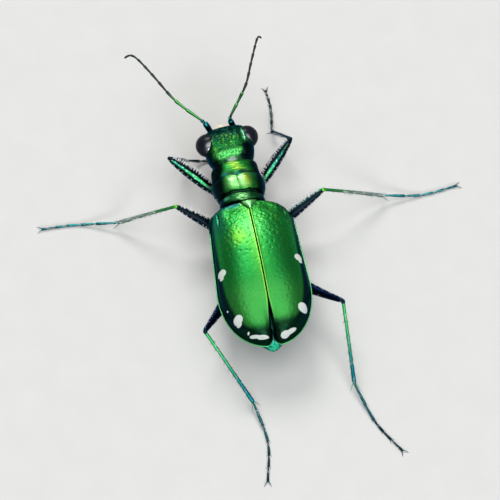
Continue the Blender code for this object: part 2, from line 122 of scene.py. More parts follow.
# Cream spots of the wing cases, as (middle, half sizes, turn in degrees)
SPOTS = (
    ((1.92, 1.62, 3.3), (0.25, 0.24, 0.5), 0),
    ((1.98, 1.87, 3.2), (0.13, 0.13, 0.4), 0),
    ((1.53, 4.13, 3.05), (0.26, 0.24, 0.6), 15),
    ((1.53, 4.34, 3.0), (0.14, 0.12, 0.5), 0),
    ((0.78, 5.03, 2.85), (0.36, 0.06, 0.3), -14),
    ((0.5, 5.09, 2.88), (0.32, 0.1, 0.25), -10),
    ((-1.83, 1.36, 3.3), (0.25, 0.25, 0.5), 0),
    ((-1.92, 1.56, 3.2), (0.15, 0.14, 0.4), 0),
    ((-1.62, 3.97, 3.05), (0.28, 0.27, 0.6), 0),
    ((-0.82, 5.04, 2.75), (0.43, 0.08, 0.6), 24),
    ((-0.62, 5.1, 2.75), (0.26, 0.12, 0.6), 16),
    ((1.16, 4.82, 2.95), (0.055, 0.055, 0.3), 0),
    ((2.0, 3.56, 3.16), (0.05, 0.05, 0.07), 0),
)

# Closed parts of the body, as (y, half width, top, bottom)
PROTHORAX = (
    (-4.3, 0.86, 3.18, 2.3),
    (-4.52, 0.98, 3.36, 2.15),
    (-4.62, 1.07, 3.5, 2.02),
    (-4.6, 1.15, 3.58, 1.94),
    (-4.48, 1.2, 3.63, 1.88),
    (-4.25, 1.22, 3.62, 1.8),
    (-4.0, 1.25, 3.61, 1.74),
    (-3.8, 1.32, 3.68, 1.69),
    (-3.5, 1.36, 3.75, 1.65),
    (-3.2, 1.31, 3.72, 1.65),
    (-2.95, 1.18, 3.62, 1.65),
    (-2.8, 1.11, 3.56, 1.67),
    (-2.6, 1.15, 3.62, 1.71),
    (-2.42, 1.16, 3.63, 1.76),
    (-2.33, 1.1, 3.56, 1.82),
    (-2.33, 1.0, 3.44, 1.92),
    (-2.4, 0.86, 3.28, 2.05),
)
HEAD = (
    (-4.35, 0.82, 3.14, 2.34),
    (-4.6, 0.95, 3.36, 2.16),
    (-4.88, 1.04, 3.48, 2.04),
    (-5.15, 1.16, 3.58, 1.94),
    (-5.45, 1.24, 3.64, 1.86),
    (-5.8, 1.25, 3.65, 1.84),
    (-6.2, 1.21, 3.63, 1.85),
    (-6.5, 1.15, 3.56, 1.88),
    (-6.74, 1.06, 3.42, 1.92),
    (-6.88, 0.98, 3.2, 1.97),
    (-6.93, 0.87, 2.96, 2.0),
    (-6.96, 0.74, 2.74, 2.03),
    (-7.02, 0.66, 2.6, 2.06),
    (-7.12, 0.6, 2.52, 2.12),
    (-7.2, 0.5, 2.45, 2.18),
)
THORAX = (
    (-2.62, 0.78, 3.2, 2.05),
    (-2.4, 0.9, 3.34, 1.9),
    (-2.15, 1.1, 3.46, 1.76),
    (-2.02, 1.45, 3.46, 1.66),
    (-1.85, 1.64, 3.38, 1.58),
    (-1.5, 1.78, 3.3, 1.5),
    (-1.0, 1.9, 3.2, 1.48),
    (-0.2, 2.0, 3.1, 1.48),
    (0.5, 2.04, 3.0, 1.52),
    (1.05, 2.02, 3.0, 1.64),
)
BODY_SQUARENESS = 2.7  # the thorax's and the head's
ABDOMEN_FRONT = 0.86
ABDOMEN_REAR = 5.5
ABDOMEN_HALF = 2.0
ABDOMEN_PLATES = 6
PLATES_END = 5.0
VENTER = 1.6
ABDOMEN_LIFT = 0.35

HEAD_TURN = 5.5  # degrees by which the head looks towards its left
HEAD_PIVOT = (HEAD_X, -5.6)
COLLAR_BEND = 0.12  # how far the prothorax's front end leans to the left
COLLAR_TURN = 4.0
# Eyes, as (middle, half sizes)
EYES = {
    "left": ((0.93, -6.15, 2.96), (0.69, 0.64, 0.6)),
    "right": ((-0.96, -6.17, 2.91), (0.64, 0.63, 0.58)),
}

# Mouth: the lip plate, and the left jaw, palps and stem, whose points start at the root
LABRUM_HALF = 0.57
LABRUM_BACK = -6.9
LABRUM_FRONT = -7.44
LABRUM_TOP = 2.44
LABRUM_SHELL = 0.12
LABRUM_TEETH = ((-0.17, 0.03), (0.0, 0.08), (0.17, 0.03))
MANDIBLE = ((0.5, -6.8, 1.95), (0.62, -7.1, 1.85), (0.56, -7.4, 1.6), (0.34, -7.63, 1.3), (0.06, -7.74, 1.1))
MANDIBLE_WIDTHS = (0.2, 0.19, 0.14, 0.09, 0.02)
MAXILLA = ((0.82, -6.3, 1.7), (1.02, -6.62, 1.4), (1.08, -6.95, 1.12), (0.98, -7.22, 0.9))
STEM = ((0.7, -5.7, 1.95), (0.8, -6.1, 1.8), (0.74, -6.5, 1.68), (0.6, -6.85, 1.55), (0.42, -7.05, 1.45))
LABIAL_PALP = ((0.12, -6.3, 1.45), (0.25, -6.6, 1.2), (0.28, -6.9, 0.98), (0.26, -7.1, 0.8))
CHIN = ((0, -5.6, 1.84), (0, -5.9, 1.72), (0, -6.2, 1.62), (0, -6.45, 1.58), (0, -6.6, 1.56))
CHIN_WIDTHS = (0.3, 0.38, 0.4, 0.3, 0.16)
JAW_TEETH = ((0.42, 0.24), (0.57, 0.27), (0.72, 0.2))  # as (share of the jaw, length)
# A palp's segments, as (start, end, half width), and the swelling of each along its length
MAXILLA_SEGMENTS = ((0.0, 0.28, 0.085), (0.26, 0.56, 0.075), (0.54, 0.78, 0.068), (0.76, 1.0, 0.062))
MAXILLA_SWELL = (0.72, 0.85, 0.95, 1.05, 1.1, 0.8)
LABIAL_SEGMENTS = ((0.0, 0.3, 0.075), (0.28, 0.68, 0.085), (0.66, 1.0, 0.07))
LABIAL_SWELL = (0.7, 0.9, 1.0, 1.05, 1.05, 0.75)

ANTENNA = {
    "left": (
        (1.15, -6.78, 2.6),
        (1.26, -7.04, 2.84),
        (1.52, -7.3, 3.25),
        (2.38, -8.0, 3.7),
        (2.96, -8.6, 4.0),
        (3.75, -9.8, 4.4),
        (4.4, -10.77, 4.6),
        (4.74, -11.02, 4.6),
        (5.02, -10.98, 4.47),
    ),
    "right": (
        (-0.1, -6.88, 2.6),
        (0.04, -7.14, 2.84),
        (0.14, -7.24, 3.2),
        (0.06, -7.38, 3.45),
        (-0.5, -8.0, 4.0),
        (-0.91, -8.5, 4.5),
        (-1.28, -9.3, 5.1),
        (-1.77, -10.3, 5.72),
        (-1.98, -10.3, 5.64),
    ),
}
ANTENNA_SHARES = (0.13, 0.035, 0.145, 0.115, 0.1, 0.1, 0.09, 0.085, 0.075, 0.065, 0.06)
ANTENNA_HALF = (0.15, 0.1, 0.086, 0.086, 0.08, 0.076, 0.073, 0.07, 0.067, 0.064, 0.06)
# Where a segment's girth is given along it, and its swelling there in the first, the last and the others
SEGMENT_AT = (0.0, 0.06, 0.3, 0.6, 0.86, 0.97, 1.02)
SCAPE_SWELL = (0.55, 0.8, 1.0, 1.08, 1.08, 0.98, 0.7)
SEGMENT_SWELL = (0.6, 0.72, 0.8, 0.88, 1.08, 1.06, 0.72)
TIP_SWELL = (0.62, 0.85, 1.0, 1.0, 0.9, 0.66, 0.3)

ANKLE = 0.46
TOE = 0.07
# Legs, as (knee, ankle, ball, toe), and hips, as (middle, half sizes of the solid)
LEGS = {
    "front_left": ((3.54, -5.7, 2.85), (2.6, -6.8, ANKLE), (1.4, -6.82, TOE), (-0.1, -6.98, TOE)),
    "front_right": ((-2.78, -5.92, 2.7), (-2.11, -7.79, ANKLE), (-2.34, -9.4, TOE), (-2.26, -10.58, TOE)),
    "mid_left": ((3.59, -2.95, 2.7), (6.57, -3.71, ANKLE), (8.55, -4.14, TOE), (10.46, -4.19, TOE)),
    "mid_right": ((-3.89, -2.72, 2.7), (-7.18, -3.09, ANKLE), (-9.25, -3.02, TOE), (-11.09, -3.28, TOE)),
    "hind_left": ((3.24, 4.19, 2.7), (1.32, 7.4, ANKLE), (0.95, 9.4, TOE), (1.3, 11.5, TOE)),
    "hind_right": ((-3.76, 3.65, 2.7), (-3.76, 7.22, ANKLE), (-4.5, 9.3, TOE), (-5.5, 10.95, TOE)),
}
COXA = {
    "front": ((0.56, -3.45, 1.12), (0.46, 0.5, 0.34)),
    "mid": ((0.57, -1.4, 1.0), (0.46, 0.5, 0.34)),
    "hind": ((0.76, 0.5, 0.98), (0.62, 0.42, 0.3)),
}
HIP_GAP = 0.28
FRONT_HIP_SHIFT = (0.0, -0.12, 0.07)
HIP_WIDTHS = (0.44, 0.48, 0.37, 0.2)
BEAD_WIDTHS = (0.12, 0.17, 0.2, 0.205, 0.19, 0.16, 0.1)
FEMUR_HALF = {"front": 0.32, "mid": 0.28, "hind": 0.3}
FEMUR_AT = (0, 0.04, 0.12, 0.3, 0.5, 0.7, 0.86, 0.95, 1)
FEMUR_SWELL = {
    "front": (0.4, 0.55, 0.72, 0.98, 1.0, 0.88, 0.66, 0.5, 0.36),
    "mid": (0.42, 0.6, 0.8, 1.0, 0.95, 0.78, 0.6, 0.5, 0.38),
    "hind": (0.42, 0.6, 0.82, 1.0, 0.9, 0.7, 0.54, 0.46, 0.36),
}
# How far the middle of a thigh stands above its straight line
BOW = {"front": 0.09, "mid": 0.0, "hind": -0.2}
TIBIA_HALF = 0.105
TIBIA_BOW = 0.05
TIBIA_AT = (0, 0.03, 0.08, 0.3, 0.6, 0.85, 0.96, 1)
TIBIA_SWELL = (0.8, 0.86, 0.78, 0.8, 0.86, 0.96, 1.14, 0.85)
KNEE_SWELL = (0.06, 0.1, 0.115, 0.105, 0.07)
TARSOMERES = (0.29, 0.2, 0.175, 0.145, 0.19)
TARSUS_HALF = (0.085, 0.08, 0.076, 0.072, 0.068)
TARSUS_AT = (0.0, 0.08, 0.4, 0.8, 0.95, 1.03)
TARSUS_SWELL = (0.5, 0.66, 0.78, 1.0, 1.02, 0.66)
# Spurs, spines and claws, as (length, half width, how far the point droops)
SPUR = (0.42, 0.03, 0.15)
SHIN_SPINE = (0.16, 0.016, 0.1)
FOOT_SPINE = (0.16, 0.016, 0.3)
CLAW = (0.36, 0.032, 0.5)
SPINE_PLACES = np.arange(0.15, 0.96, 0.09)  # as shares of the shin

# Rows of bristles on a thigh: the way they face (1 to the front), how far up their row lies and they
# point, and their count, length and half width
THIGH_ROWS = (
    (1, 6.0, 0.9, 20, 0.24, 0.026),
    (1, 2.4, 0.7, 24, 0.28, 0.028),
    (1, 1.0, 0.5, 26, 0.3, 0.024),
    (1, 0.2, 0.1, 20, 0.26, 0.019),
    (1, -0.7, -0.5, 16, 0.22, 0.017),
    (-1, 0.4, 0.3, 11, 0.24, 0.019),
    (-1, -0.2, -0.2, 12, 0.26, 0.019),
)
HIND_HAIR = (0.5, 0.7, 0.014)  # share of the count, share of the length, and half width on the hind thighs
SHIN_HAIRS = {"front": (60, 0.2), "mid": (190, 0.3), "hind": (90, 0.15)}  # as (count, where they start)
FOOT_HAIRS = 80
FINE_HAIR = 0.013
BODY_HAIR = 0.009
CURL = 0.2  # how far a bristle sinks at its point, as a share of its length


def coordinates(piece):
    """The places of a piece's points, one row for each."""
    found = np.empty(len(piece.data.vertices) * 3)
    piece.data.vertices.foreach_get("co", found)
    return found.reshape(-1, 3)


def placed(points):
    """Points in millimetres of the body, as metres of the whole beetle."""
    return (np.asarray(points, float) - MIDDLE) * MM


def started(name):
    """The primitive that was just added, under its own name."""
    piece = bpy.context.object
    piece.name = piece.data.name = name
    return piece


def alone(piece):
    """Leaves this piece selected and no other."""
    bpy.ops.object.select_all(action="DESELECT")
    piece.select_set(True)
    bpy.context.view_layer.objects.active = piece


def modified(piece, kind, **settings):
    """A modifier with these settings, applied."""
    alone(piece)
    modifier = piece.modifiers.new(kind.lower(), kind)
    for name, value in settings.items():
        setattr(modifier, name, value)
    bpy.ops.object.modifier_apply(modifier=modifier.name)
    return piece


def joined(name, pieces):
    """Several pieces as one."""
    alone(pieces[0])
    for piece in pieces:
        piece.select_set(True)
    bpy.ops.object.join()
    return started(name)


def smooth_rows(rows, count):
    """Rows of numbers read along a smooth curve through the given rows."""
    rows = np.array(rows, float)
    padded = np.vstack([2 * rows[:1] - rows[1:2], rows, 2 * rows[-1:] - rows[-2:-1]])
    place = np.linspace(0, len(rows) - 1, count)
    span = np.minimum(place.astype(int), len(rows) - 2)
    t = (place - span)[:, None]
    a, b, c, d = (padded[span + step] for step in range(4))
    return b + ((c - a) * t + (2 * a - 5 * b + 4 * c - d) * t**2 + (3 * b - a - 3 * c + d) * t**3) / 2


def along(path, shares):
    """Points at these shares of the length of a path."""
    path = np.asarray(path, float)
    steps = np.linalg.norm(np.diff(path, axis=0), axis=1)
    length = np.concatenate([[0.0], np.cumsum(steps)])
    shares = np.asarray(shares) * length[-1]
    return np.stack([np.interp(shares, length, path[:, axis]) for axis in range(path.shape[1])], 1)


def turned(points, pivot, degrees):
    """Points turned about a line that stands upright on the pivot."""
    points = np.array(points, float)
    turn = np.radians(degrees)
    x, y = points[..., 0] - pivot[0], points[..., 1] - pivot[1]
    points[..., 0] = pivot[0] + x * np.cos(turn) - y * np.sin(turn)
    points[..., 1] = pivot[1] + x * np.sin(turn) + y * np.cos(turn)
    return points


def head_turned(points):
    """Points of the head, turned as the beetle holds it."""
    return turned(points, HEAD_PIVOT, HEAD_TURN)


def unit(vectors):
    """The same directions with a length of 1."""
    vectors = np.asarray(vectors, float)
    return vectors / np.linalg.norm(vectors, axis=-1, keepdims=True)


def hump(value, middle, width):
    """1 at the middle, falling smoothly to 0 either side of it."""
    return np.exp(-(((value - middle) / width) ** 2))


def ease(value, low, high):
    """0 below low and 1 above high, with a smooth change between."""
    t = np.clip((value - low) / (high - low), 0, 1)
    return t * t * (3 - 2 * t)


def power(values, exponent):
    """A power of the size of each value, which keeps its sign."""
    return np.sign(values) * np.abs(values) ** exponent


def wrapped(name, table, closed=False, outwards=1, **marks):
    """A grid laid over a table of points, welded, and capped where it closes round on itself.

    Each further table of marks is kept at the points under its own name, for the finishes to read.
    """
    rows, columns = table.shape[:2]
    bpy.ops.object.select_all(action="DESELECT")
    bpy.ops.mesh.primitive_grid_add(x_subdivisions=columns - 1, y_subdivisions=rows - 1, size=1.0)
    piece = started(name)
    flat = coordinates(piece) + 0.5
    column = np.rint(flat[:, 0] * (columns - 1)).astype(int)
    line = np.rint(flat[:, 1] * (rows - 1)).astype(int)
    piece.data.vertices.foreach_set("co", placed(table[line, column]).ravel())
    for mark, values in marks.items():
        layer = piece.data.attributes.new(mark, "FLOAT", "POINT")
        layer.data.foreach_set("value", values[line, column].astype(np.float32))
    bpy.ops.object.mode_set(mode="EDIT")
    bpy.ops.mesh.select_all(action="SELECT")
    bpy.ops.mesh.remove_doubles(threshold=WELD)
    bpy.ops.mesh.select_all(action="SELECT")
    if closed:
        bpy.ops.mesh.fill_holes(sides=0)
        bpy.ops.mesh.select_all(action="SELECT")
        bpy.ops.mesh.normals_make_consistent(inside=False)
    elif outwards < 0:
        bpy.ops.mesh.flip_normals()
    bpy.ops.object.mode_set(mode="OBJECT")
    return piece


def table_normals(table):
    """The direction square to the surface at each point of a table, up where the rows run to the rear."""
    across = np.gradient(table, axis=1)
    back = np.gradient(table, axis=0)
    square = np.cross(across, back)
    return square / np.maximum(np.linalg.norm(square, axis=2, keepdims=True), 1e-9)


def outward(table):
    """The direction away from the inside at each point of a closed table, whose middle column is its top."""
    out = table_normals(table)
    rows, columns = table.shape[:2]
    return out if out[rows // 2, columns // 2, 2] > 0 else -out


def oval_table(y, half, top, bottom, middle, columns, squareness):
    """A table of points round the body, one oval for each y."""
    turn = np.linspace(-math.pi, math.pi, columns)[None, :]
    x = middle + half * power(np.sin(turn), 2 / squareness)
    tall = (top - bottom) / 2
    z = bottom + tall + tall * power(np.cos(turn), 2 / squareness)
    return np.stack([x, np.broadcast_to(y, x.shape), z], 2)


def barrel(keys, middle, rows, columns, squareness=SQUARENESS):
    """A table of points round the body, through (y, half width, top, bottom) keys."""
    return oval_table(*smooth_rows(keys, rows).T[:, :, None], middle, columns, squareness)


def ring_table(path, widths, heights, sides):
    """Rings square to a path, each with its half width and half height."""
    path = np.asarray(path, float)
    ahead = unit(np.gradient(path, axis=0))
    up = UP
    turn = np.linspace(0, math.tau, sides, endpoint=False)
    rings = []
    for point, way, wide, high in zip(path, ahead, widths, heights):
        up = unit(up - way * up.dot(way))
        side = np.cross(up, way)
        rings.append(point + np.outer(np.cos(turn) * wide, side) + np.outer(np.sin(turn) * high, up))
    return rings


def drawn_from(corner):
    """The corner that the last extrusion drew out of this one."""
    ends = (edge.other_vert(corner) for edge in corner.link_edges)
    return next(end for end in ends if end.select)


def grown(name, path, widths, heights=None, *, sides, shares=(0.0, 1.0), levels=1):
    """A limb grown from a disc, one extrusion for each further point of its path."""
    rings = ring_table(path, widths, widths if heights is None else heights, sides)
    marks = np.linspace(*shares, len(rings))
    bpy.ops.object.select_all(action="DESELECT")
    bpy.ops.mesh.primitive_circle_add(vertices=sides, radius=MM, fill_type="NGON")
    piece = started(name)
    bpy.ops.object.mode_set(mode="EDIT")
    shape = bmesh.from_edit_mesh(piece.data)
    mark = shape.verts.layers.float.new("along")
    ring = list(shape.verts)
    for step, points in enumerate(rings):
        if step:
            bpy.ops.mesh.extrude_region_move()
            ring = [drawn_from(corner) for corner in ring]
        for corner, point in zip(ring, placed(points)):
            corner.co = point
            corner[mark] = marks[step]
    bmesh.update_edit_mesh(piece.data)
    bpy.ops.mesh.select_all(action="SELECT")
    bpy.ops.mesh.normals_make_consistent(inside=False)
    bpy.ops.object.mode_set(mode="OBJECT")
    return modified(piece, "SUBSURF", levels=levels, render_levels=levels)


def straight(name, start, end, shares, swell, half, bow, flat=1.0, **more):
    """A limb between two points, whose girth swells as given at these shares of its length."""
    shares, girth = np.array(shares, float), half * np.array(swell)
    path = start + (end - start) * shares[:, None]
    path[:, 2] += bow * np.sin(math.pi * shares)
    return grown(name, path, girth, girth * flat, **more)


def spike(name, root, way, length, half, droop, sides=6):
    """A spur, spine or claw that bends down to a point and stays above the ground."""
    t = np.linspace(0, 1, 6)[:, None]
    path = np.array(root) + (np.array(way) * t - UP * droop * t**2) * length
    girth = half * (1 - 0.92 * t[:, 0] ** 1.3)
    path[:, 2] = np.maximum(path[:, 2], girth)
    return grown(name, path, girth, sides=sides)


def bristles(name, hairs):
    """Fine tapered bristles as one mesh, each (root, way, length, half width) a copy of the first."""
    bpy.ops.object.select_all(action="DESELECT")
    bpy.ops.mesh.primitive_cone_add(vertices=4, radius1=1.0, radius2=0.1, depth=1.0, location=(0, 0, 0.5))
    piece = started(name)
    bpy.ops.object.transform_apply(location=True, rotation=True, scale=True)
    bpy.ops.object.mode_set(mode="EDIT")
    for height in (0.35, 0.7):
        bpy.ops.mesh.select_all(action="SELECT")
        bpy.ops.mesh.bisect(plane_co=(0, 0, height), plane_no=(0, 0, 1))
    bpy.ops.object.mode_set(mode="OBJECT")
    first = coordinates(piece)
    faces = [list(face.vertices) for face in piece.data.polygons]
    roots, ways, lengths, halves = (np.array(values, float) for values in zip(*hairs))
    ways, lengths, halves = unit(ways), lengths[:, None, None], halves[:, None, None]
    side = unit(np.cross(ways, (0.31, 0.17, 0.93)))
    up = np.cross(side, ways)
    height = first[None, :, 2:]
    points = roots[:, None] + ways[:, None] * height * lengths
    points = points + (side[:, None] * first[None, :, :1] + up[:, None] * first[None, :, 1:2]) * halves
    points = points - UP * height**2 * lengths * CURL
    points[..., 2] = np.maximum(points[..., 2], 0.0)
    starts = range(0, len(roots) * len(first), len(first))
    every = [[corner + start for corner in face] for start in starts for face in faces]
    hair = bpy.data.meshes.new(name)
    hair.from_pydata(placed(points.reshape(-1, 3)), [], every)
    old, piece.data = piece.data, hair
    bpy.data.meshes.remove(old)
    return piece


class Value:
    """A number on its way through a finish, that can be worked on as in a sum."""

    def __init__(self, finish, socket):
        self.finish = finish
        self.socket = socket

    def __add__(self, other):
        return self.finish.maths("ADD", self, other)

    def __sub__(self, other):
        return self.finish.maths("SUBTRACT", self, other)

    def __rsub__(self, other):
        return self.finish.maths("SUBTRACT", other, self)

    def __mul__(self, other):
        return self.finish.maths("MULTIPLY", self, other)

    def __abs__(self):
        return self.finish.maths("ABSOLUTE", self)

    __radd__ = __add__
    __rmul__ = __mul__

    def rises(self, low, high):
        """0 below low and 1 above high, with a smooth change between; low may be the greater."""
        if low > high:
            return 1 - self.rises(high, low)
        settings = {"interpolation_type": "SMOOTHSTEP"}
        values = {"Value": self, "From Min": low, "From Max": high}
        return self.finish.node("ShaderNodeMapRange", settings, values).out("Result")

    def hump(self, middle, width):
        """1 at the middle and 0 beyond the width either side."""
        return abs(self - middle).rises(width, 0.0)

    def ragged(self, noise, size):
        """The number strayed by a noise, over this size from end to end."""
        return self + (noise - 0.5) * size

    def filled(self, gain):
        """The number made greater by a gain, up to 1."""
        return (self * gain).least(1.0)

    def least(self, other):
        return self.finish.maths("MINIMUM", self, other)

    def most(self, other):
        return self.finish.maths("MAXIMUM", self, other)


class Node:
    def __init__(self, finish, made):
        self.finish = finish
        self.made = made

    def out(self, name=0):
        return Value(self.finish, self.made.outputs[name])


class Finish:
    """A material whose colour, gloss and relief come from places on the body in millimetres."""

    def __init__(self, name, **sockets):
        self.material = bpy.data.materials.new(name)
        self.material.use_nodes = True
        self.tree = self.material.node_tree
        self.shader = self.tree.nodes["Principled BSDF"]
        for socket, value in sockets.items():
            self.shader.inputs[socket.replace("_", " ")].default_value = value
        self.place = self.node("ShaderNodeTexCoord").out("Object")
        body = self.vector("MULTIPLY_ADD", self.place, (1 / MM,) * 3, tuple(MIDDLE))
        self.x, self.y, self.z = self.parts(body)
        normal = self.node("ShaderNodeNewGeometry").out("Normal")
        self.side, self.rear, self.up = self.parts(normal)

    def node(self, kind, settings=None, values=None):
        made = self.tree.nodes.new(kind)
        for name, value in (settings or {}).items():
            setattr(made, name, value)
        for name, value in (values or {}).items():
            if isinstance(value, Value):
                self.tree.links.new(value.socket, made.inputs[name])
            elif value is not None:
                made.inputs[name].default_value = value
        return Node(self, made)

    def maths(self, operation, first, second=None):
        return self.node("ShaderNodeMath", {"operation": operation}, {0: first, 1: second}).out()

    def vector(self, operation, *values):
        return self.node("ShaderNodeVectorMath", {"operation": operation}, dict(enumerate(values))).out()

    def parts(self, vector):
        split = self.node("ShaderNodeSeparateXYZ", None, {0: vector})
        return [split.out(axis) for axis in "XYZ"]

    def mark(self, name):
        """A number that the mesh carries at each of its points."""
        return self.node("ShaderNodeAttribute", {"attribute_name": name}).out("Fac")

    def mix(self, share, first, second):
        """The first colour where the share is 0 and the second where it is 1."""
        colours = [value if isinstance(value, Value) else (*value, 1.0) for value in (first, second)]
        settings = {"data_type": "RGBA"}
        return self.node("ShaderNodeMix", settings, {0: share, 6: colours[0], 7: colours[1]}).out(2)

    def laid(self, colour, *layers):
        """A colour with others laid over it in turn, each given as (share, colour)."""
        for share, over in layers:
            colour = self.mix(share, colour, over)
        return colour

    def mix_value(self, share, first, second):
        """The first number where the share is 0 and the second where it is 1."""
        return first + share * (second - first)

    def times(self, colour, factor):
        """A colour made brighter or darker."""
        return self.vector("SCALE", colour, None, None, factor)

    def noise(self, size, detail=2.0, stretch=(1, 1, 1)):
        """Soft irregular values from 0 to 1, with lumps of about this size."""
        at = self.vector("MULTIPLY", self.place, stretch)
        values = {"Vector": at, "Scale": 1 / (size * MM), "Detail": detail}
        return self.node("ShaderNodeTexNoise", None, values).out(0)

    def cells(self, size, jitter=1.0):
        """How far each place is from the middle of its cell, in cells of this size."""
        values = {"Vector": self.place, "Scale": 1 / (size * MM), "Randomness": jitter}
        return self.node("ShaderNodeTexVoronoi", None, values).out("Distance")

    def paint(self, colour, roughness=None, metallic=None, relief=None, depth=0.01, coat=None):
        """Joins the finished values to the surface; the relief's depth is in millimetres."""
        if relief is not None:
            values = {"Height": relief, "Distance": depth * MM, "Strength": 1.0}
            normal = self.node("ShaderNodeBump", None, values).out()
            self.tree.links.new(normal.socket, self.shader.inputs["Normal"])
        varied = {"Base Color": colour, "Roughness": roughness, "Metallic": metallic, "Coat Weight": coat}
        for name, value in varied.items():
            if value is not None:
                self.tree.links.new(value.socket, self.shader.inputs[name])
        return self.material


def finished(piece, finish, nodes=(), angle=50):
    """Gives a piece its finish and lets it stand for the solids that it shows."""
    alone(piece)
    bpy.ops.object.shade_smooth_by_angle(angle=math.radians(angle))
    piece.data.materials.clear()
    piece.data.materials.append(finish)
    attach(piece, "root")
    if nodes:
        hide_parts(*nodes)
    return piece


# Finishes

METAL = {"Metallic": 1.0, "Roughness": 0.34, "Specular_Tint": (0.25, 0.6, 0.8, 1.0)}
METAL.update(Coat_Weight=0.18, Coat_Roughness=0.24, Coat_IOR=1.5)
LIMB_METAL = {"Specular_Tint": (0.2, 0.5, 0.7, 1.0), "Coat_Weight": 0.1}

# Limbs, as (colour of the painted highlight line along the top, flanks, end, where the end's colour starts,
# what else limb_finish is told)
FRONT_THIGH = {"line": (1.335, 1.385), "lean": 1.0, "shine": 0.9}
MID_THIGH = {"line": (0.98, 1.08), "lean": -0.2, "turn": 0.3}
MID_SHIN = {"line": (0.1, 0.7), "knee": (0.12, 0.5, 0.05)}
HIND_SHIN = {"line": (0.2, 0.85), "knee": (0.004, 0.02, 0.04)}
LIMB_COLOURS = {
    "thigh_front": ((0.028, 0.4, 0.12), (0.002, 0.008, 0.014), (0.09, 0.6, 0.12), 0.75, FRONT_THIGH),
    "thigh_mid": ((0.006, 0.16, 0.13), (0.002, 0.008, 0.014), (0.02, 0.34, 0.14), 0.7, MID_THIGH),
    "thigh_hind": ((0.003, 0.01, 0.05), (0.002, 0.008, 0.024), (0.003, 0.02, 0.05), 0.75, {}),
    "shin_front": ((0.004, 0.04, 0.04), (0.002, 0.01, 0.014), (0.003, 0.03, 0.03), 0.5, {}),
    "shin_mid": ((0.04, 0.38, 0.07), (0.004, 0.05, 0.03), (0.38, 0.48, 0.42), 0.3, MID_SHIN),
    "shin_hind": ((0.05, 0.62, 0.16), (0.006, 0.14, 0.07), (0.008, 0.2, 0.24), 0.35, HIND_SHIN),
    "foot_front": ((0.006, 0.03, 0.03), (0.003, 0.01, 0.012), (0.005, 0.02, 0.025), 0.5, {}),
    "foot_mid": ((0.01, 0.22, 0.22), (0.004, 0.04, 0.05), (0.006, 0.08, 0.1), 0.6, {}),
    "foot_hind": ((0.008, 0.14, 0.16), (0.003, 0.03, 0.04), (0.004, 0.03, 0.04), 0.3, {}),
}


def metal_finish(name, **more):
    """A metallic shell that turns bluish where it is seen at a slant."""
    return Finish(name, **{**METAL, **more})


def cream_spots(f):
    """1 in the cream spots, which lie where the shell runs through these ellipsoids."""
    nearest = None
    for middle, half, turn in SPOTS:
        values = {"Vector": f.place, "Location": tuple(placed(middle))}
        values["Rotation"] = (0, 0, math.radians(turn))
        values["Scale"] = tuple(size * MM for size in half)
        ball = f.node("ShaderNodeMapping", {"vector_type": "TEXTURE"}, values).out()
        far = f.node("ShaderNodeVectorMath", {"operation": "LENGTH"}, {0: ball}).out("Value")
        nearest = far if nearest is None else nearest.least(far)
    return nearest.ragged(f.noise(0.25, 1.0), 0.16).rises(1.05, 0.95)


def wing_greens(f, left, from_seam, drift, speckle):
    """The greens of the back, from the deep ones of its middle, darkened by painted shade, to the gold of
    its pits, with painted highlights beside the seam, at the front and towards the rear, and painted shade
    at the right shoulder.
    """
    across = abs(f.x)
    shade = across.hump(1.15, 0.9) * f.y.hump(1.4, 1.9)
    # painted reflection of the overhead lamp: the green made lighter towards the rear end
    rear_reflection = f.y.rises(1.9, 3.4) * f.y.rises(5.0, 4.3)
    # painted highlight: a yellow-green streak beside the seam, stronger on the left case
    highlight_streak = from_seam.rises(0.6, 0.05) * (left * 0.8 + 0.2) * f.y.rises(4.3, -0.6)
    # painted mint highlight on both sides of the seam in front
    mint_highlight = from_seam.rises(0.95, 0.1) * f.y.hump(-0.75, 1.25)
    # painted yellow-green highlight on the front of the left case
    lime_highlight = f.x.ragged(speckle, 0.5).hump(0.85, 0.6) * f.y.ragged(drift, 0.6).hump(-0.1, 0.8)
    shoulder = across.rises(1.1, 1.8) * f.y.rises(0.4, -1.6) * (left * 0.7 + 0.1)
    # painted shade on the outer front of the right case
    dip = (1 - left) * across.rises(1.0, 1.5) * f.y.ragged(speckle, 0.6).rises(-0.9, -1.6)
    base = f.y.rises(-1.72, -2.0) * across.rises(0.35, 0.7) * left
    gold = f.cells(0.22).rises(0.22, 0.08) * f.noise(0.5).rises(0.4, 0.55)
    gold = gold * f.y.rises(1.4, -0.9) * across.rises(1.95, 1.6)
    return f.laid(
        f.mix(drift, (0.011, 0.22, 0.036), (0.015, 0.24, 0.034)),
        (shade * 0.2, (0.008, 0.13, 0.034)),
        (rear_reflection * (0.55 + drift * 0.3 + left * 0.1), (0.04, 0.28, 0.046)),
        (highlight_streak * 0.7, (0.095, 0.38, 0.036)),
        (mint_highlight * (0.5 + left * 0.25), (0.08, 0.48, 0.1)),
        (lime_highlight * 0.6, (0.15, 0.42, 0.015)),
        # painted highlight: the front of the back made brighter green
        (f.y.rises(-0.2, -1.7) * 0.4, (0.03, 0.3, 0.03)),
        (shoulder * 0.8, (0.01, 0.2, 0.16)),
        (dip * 0.65, (0.005, 0.085, 0.025)),
        (base * 0.8, (0.008, 0.1, 0.18)),
        (gold * 0.8, (0.4, 0.6, 0.04)),
    )


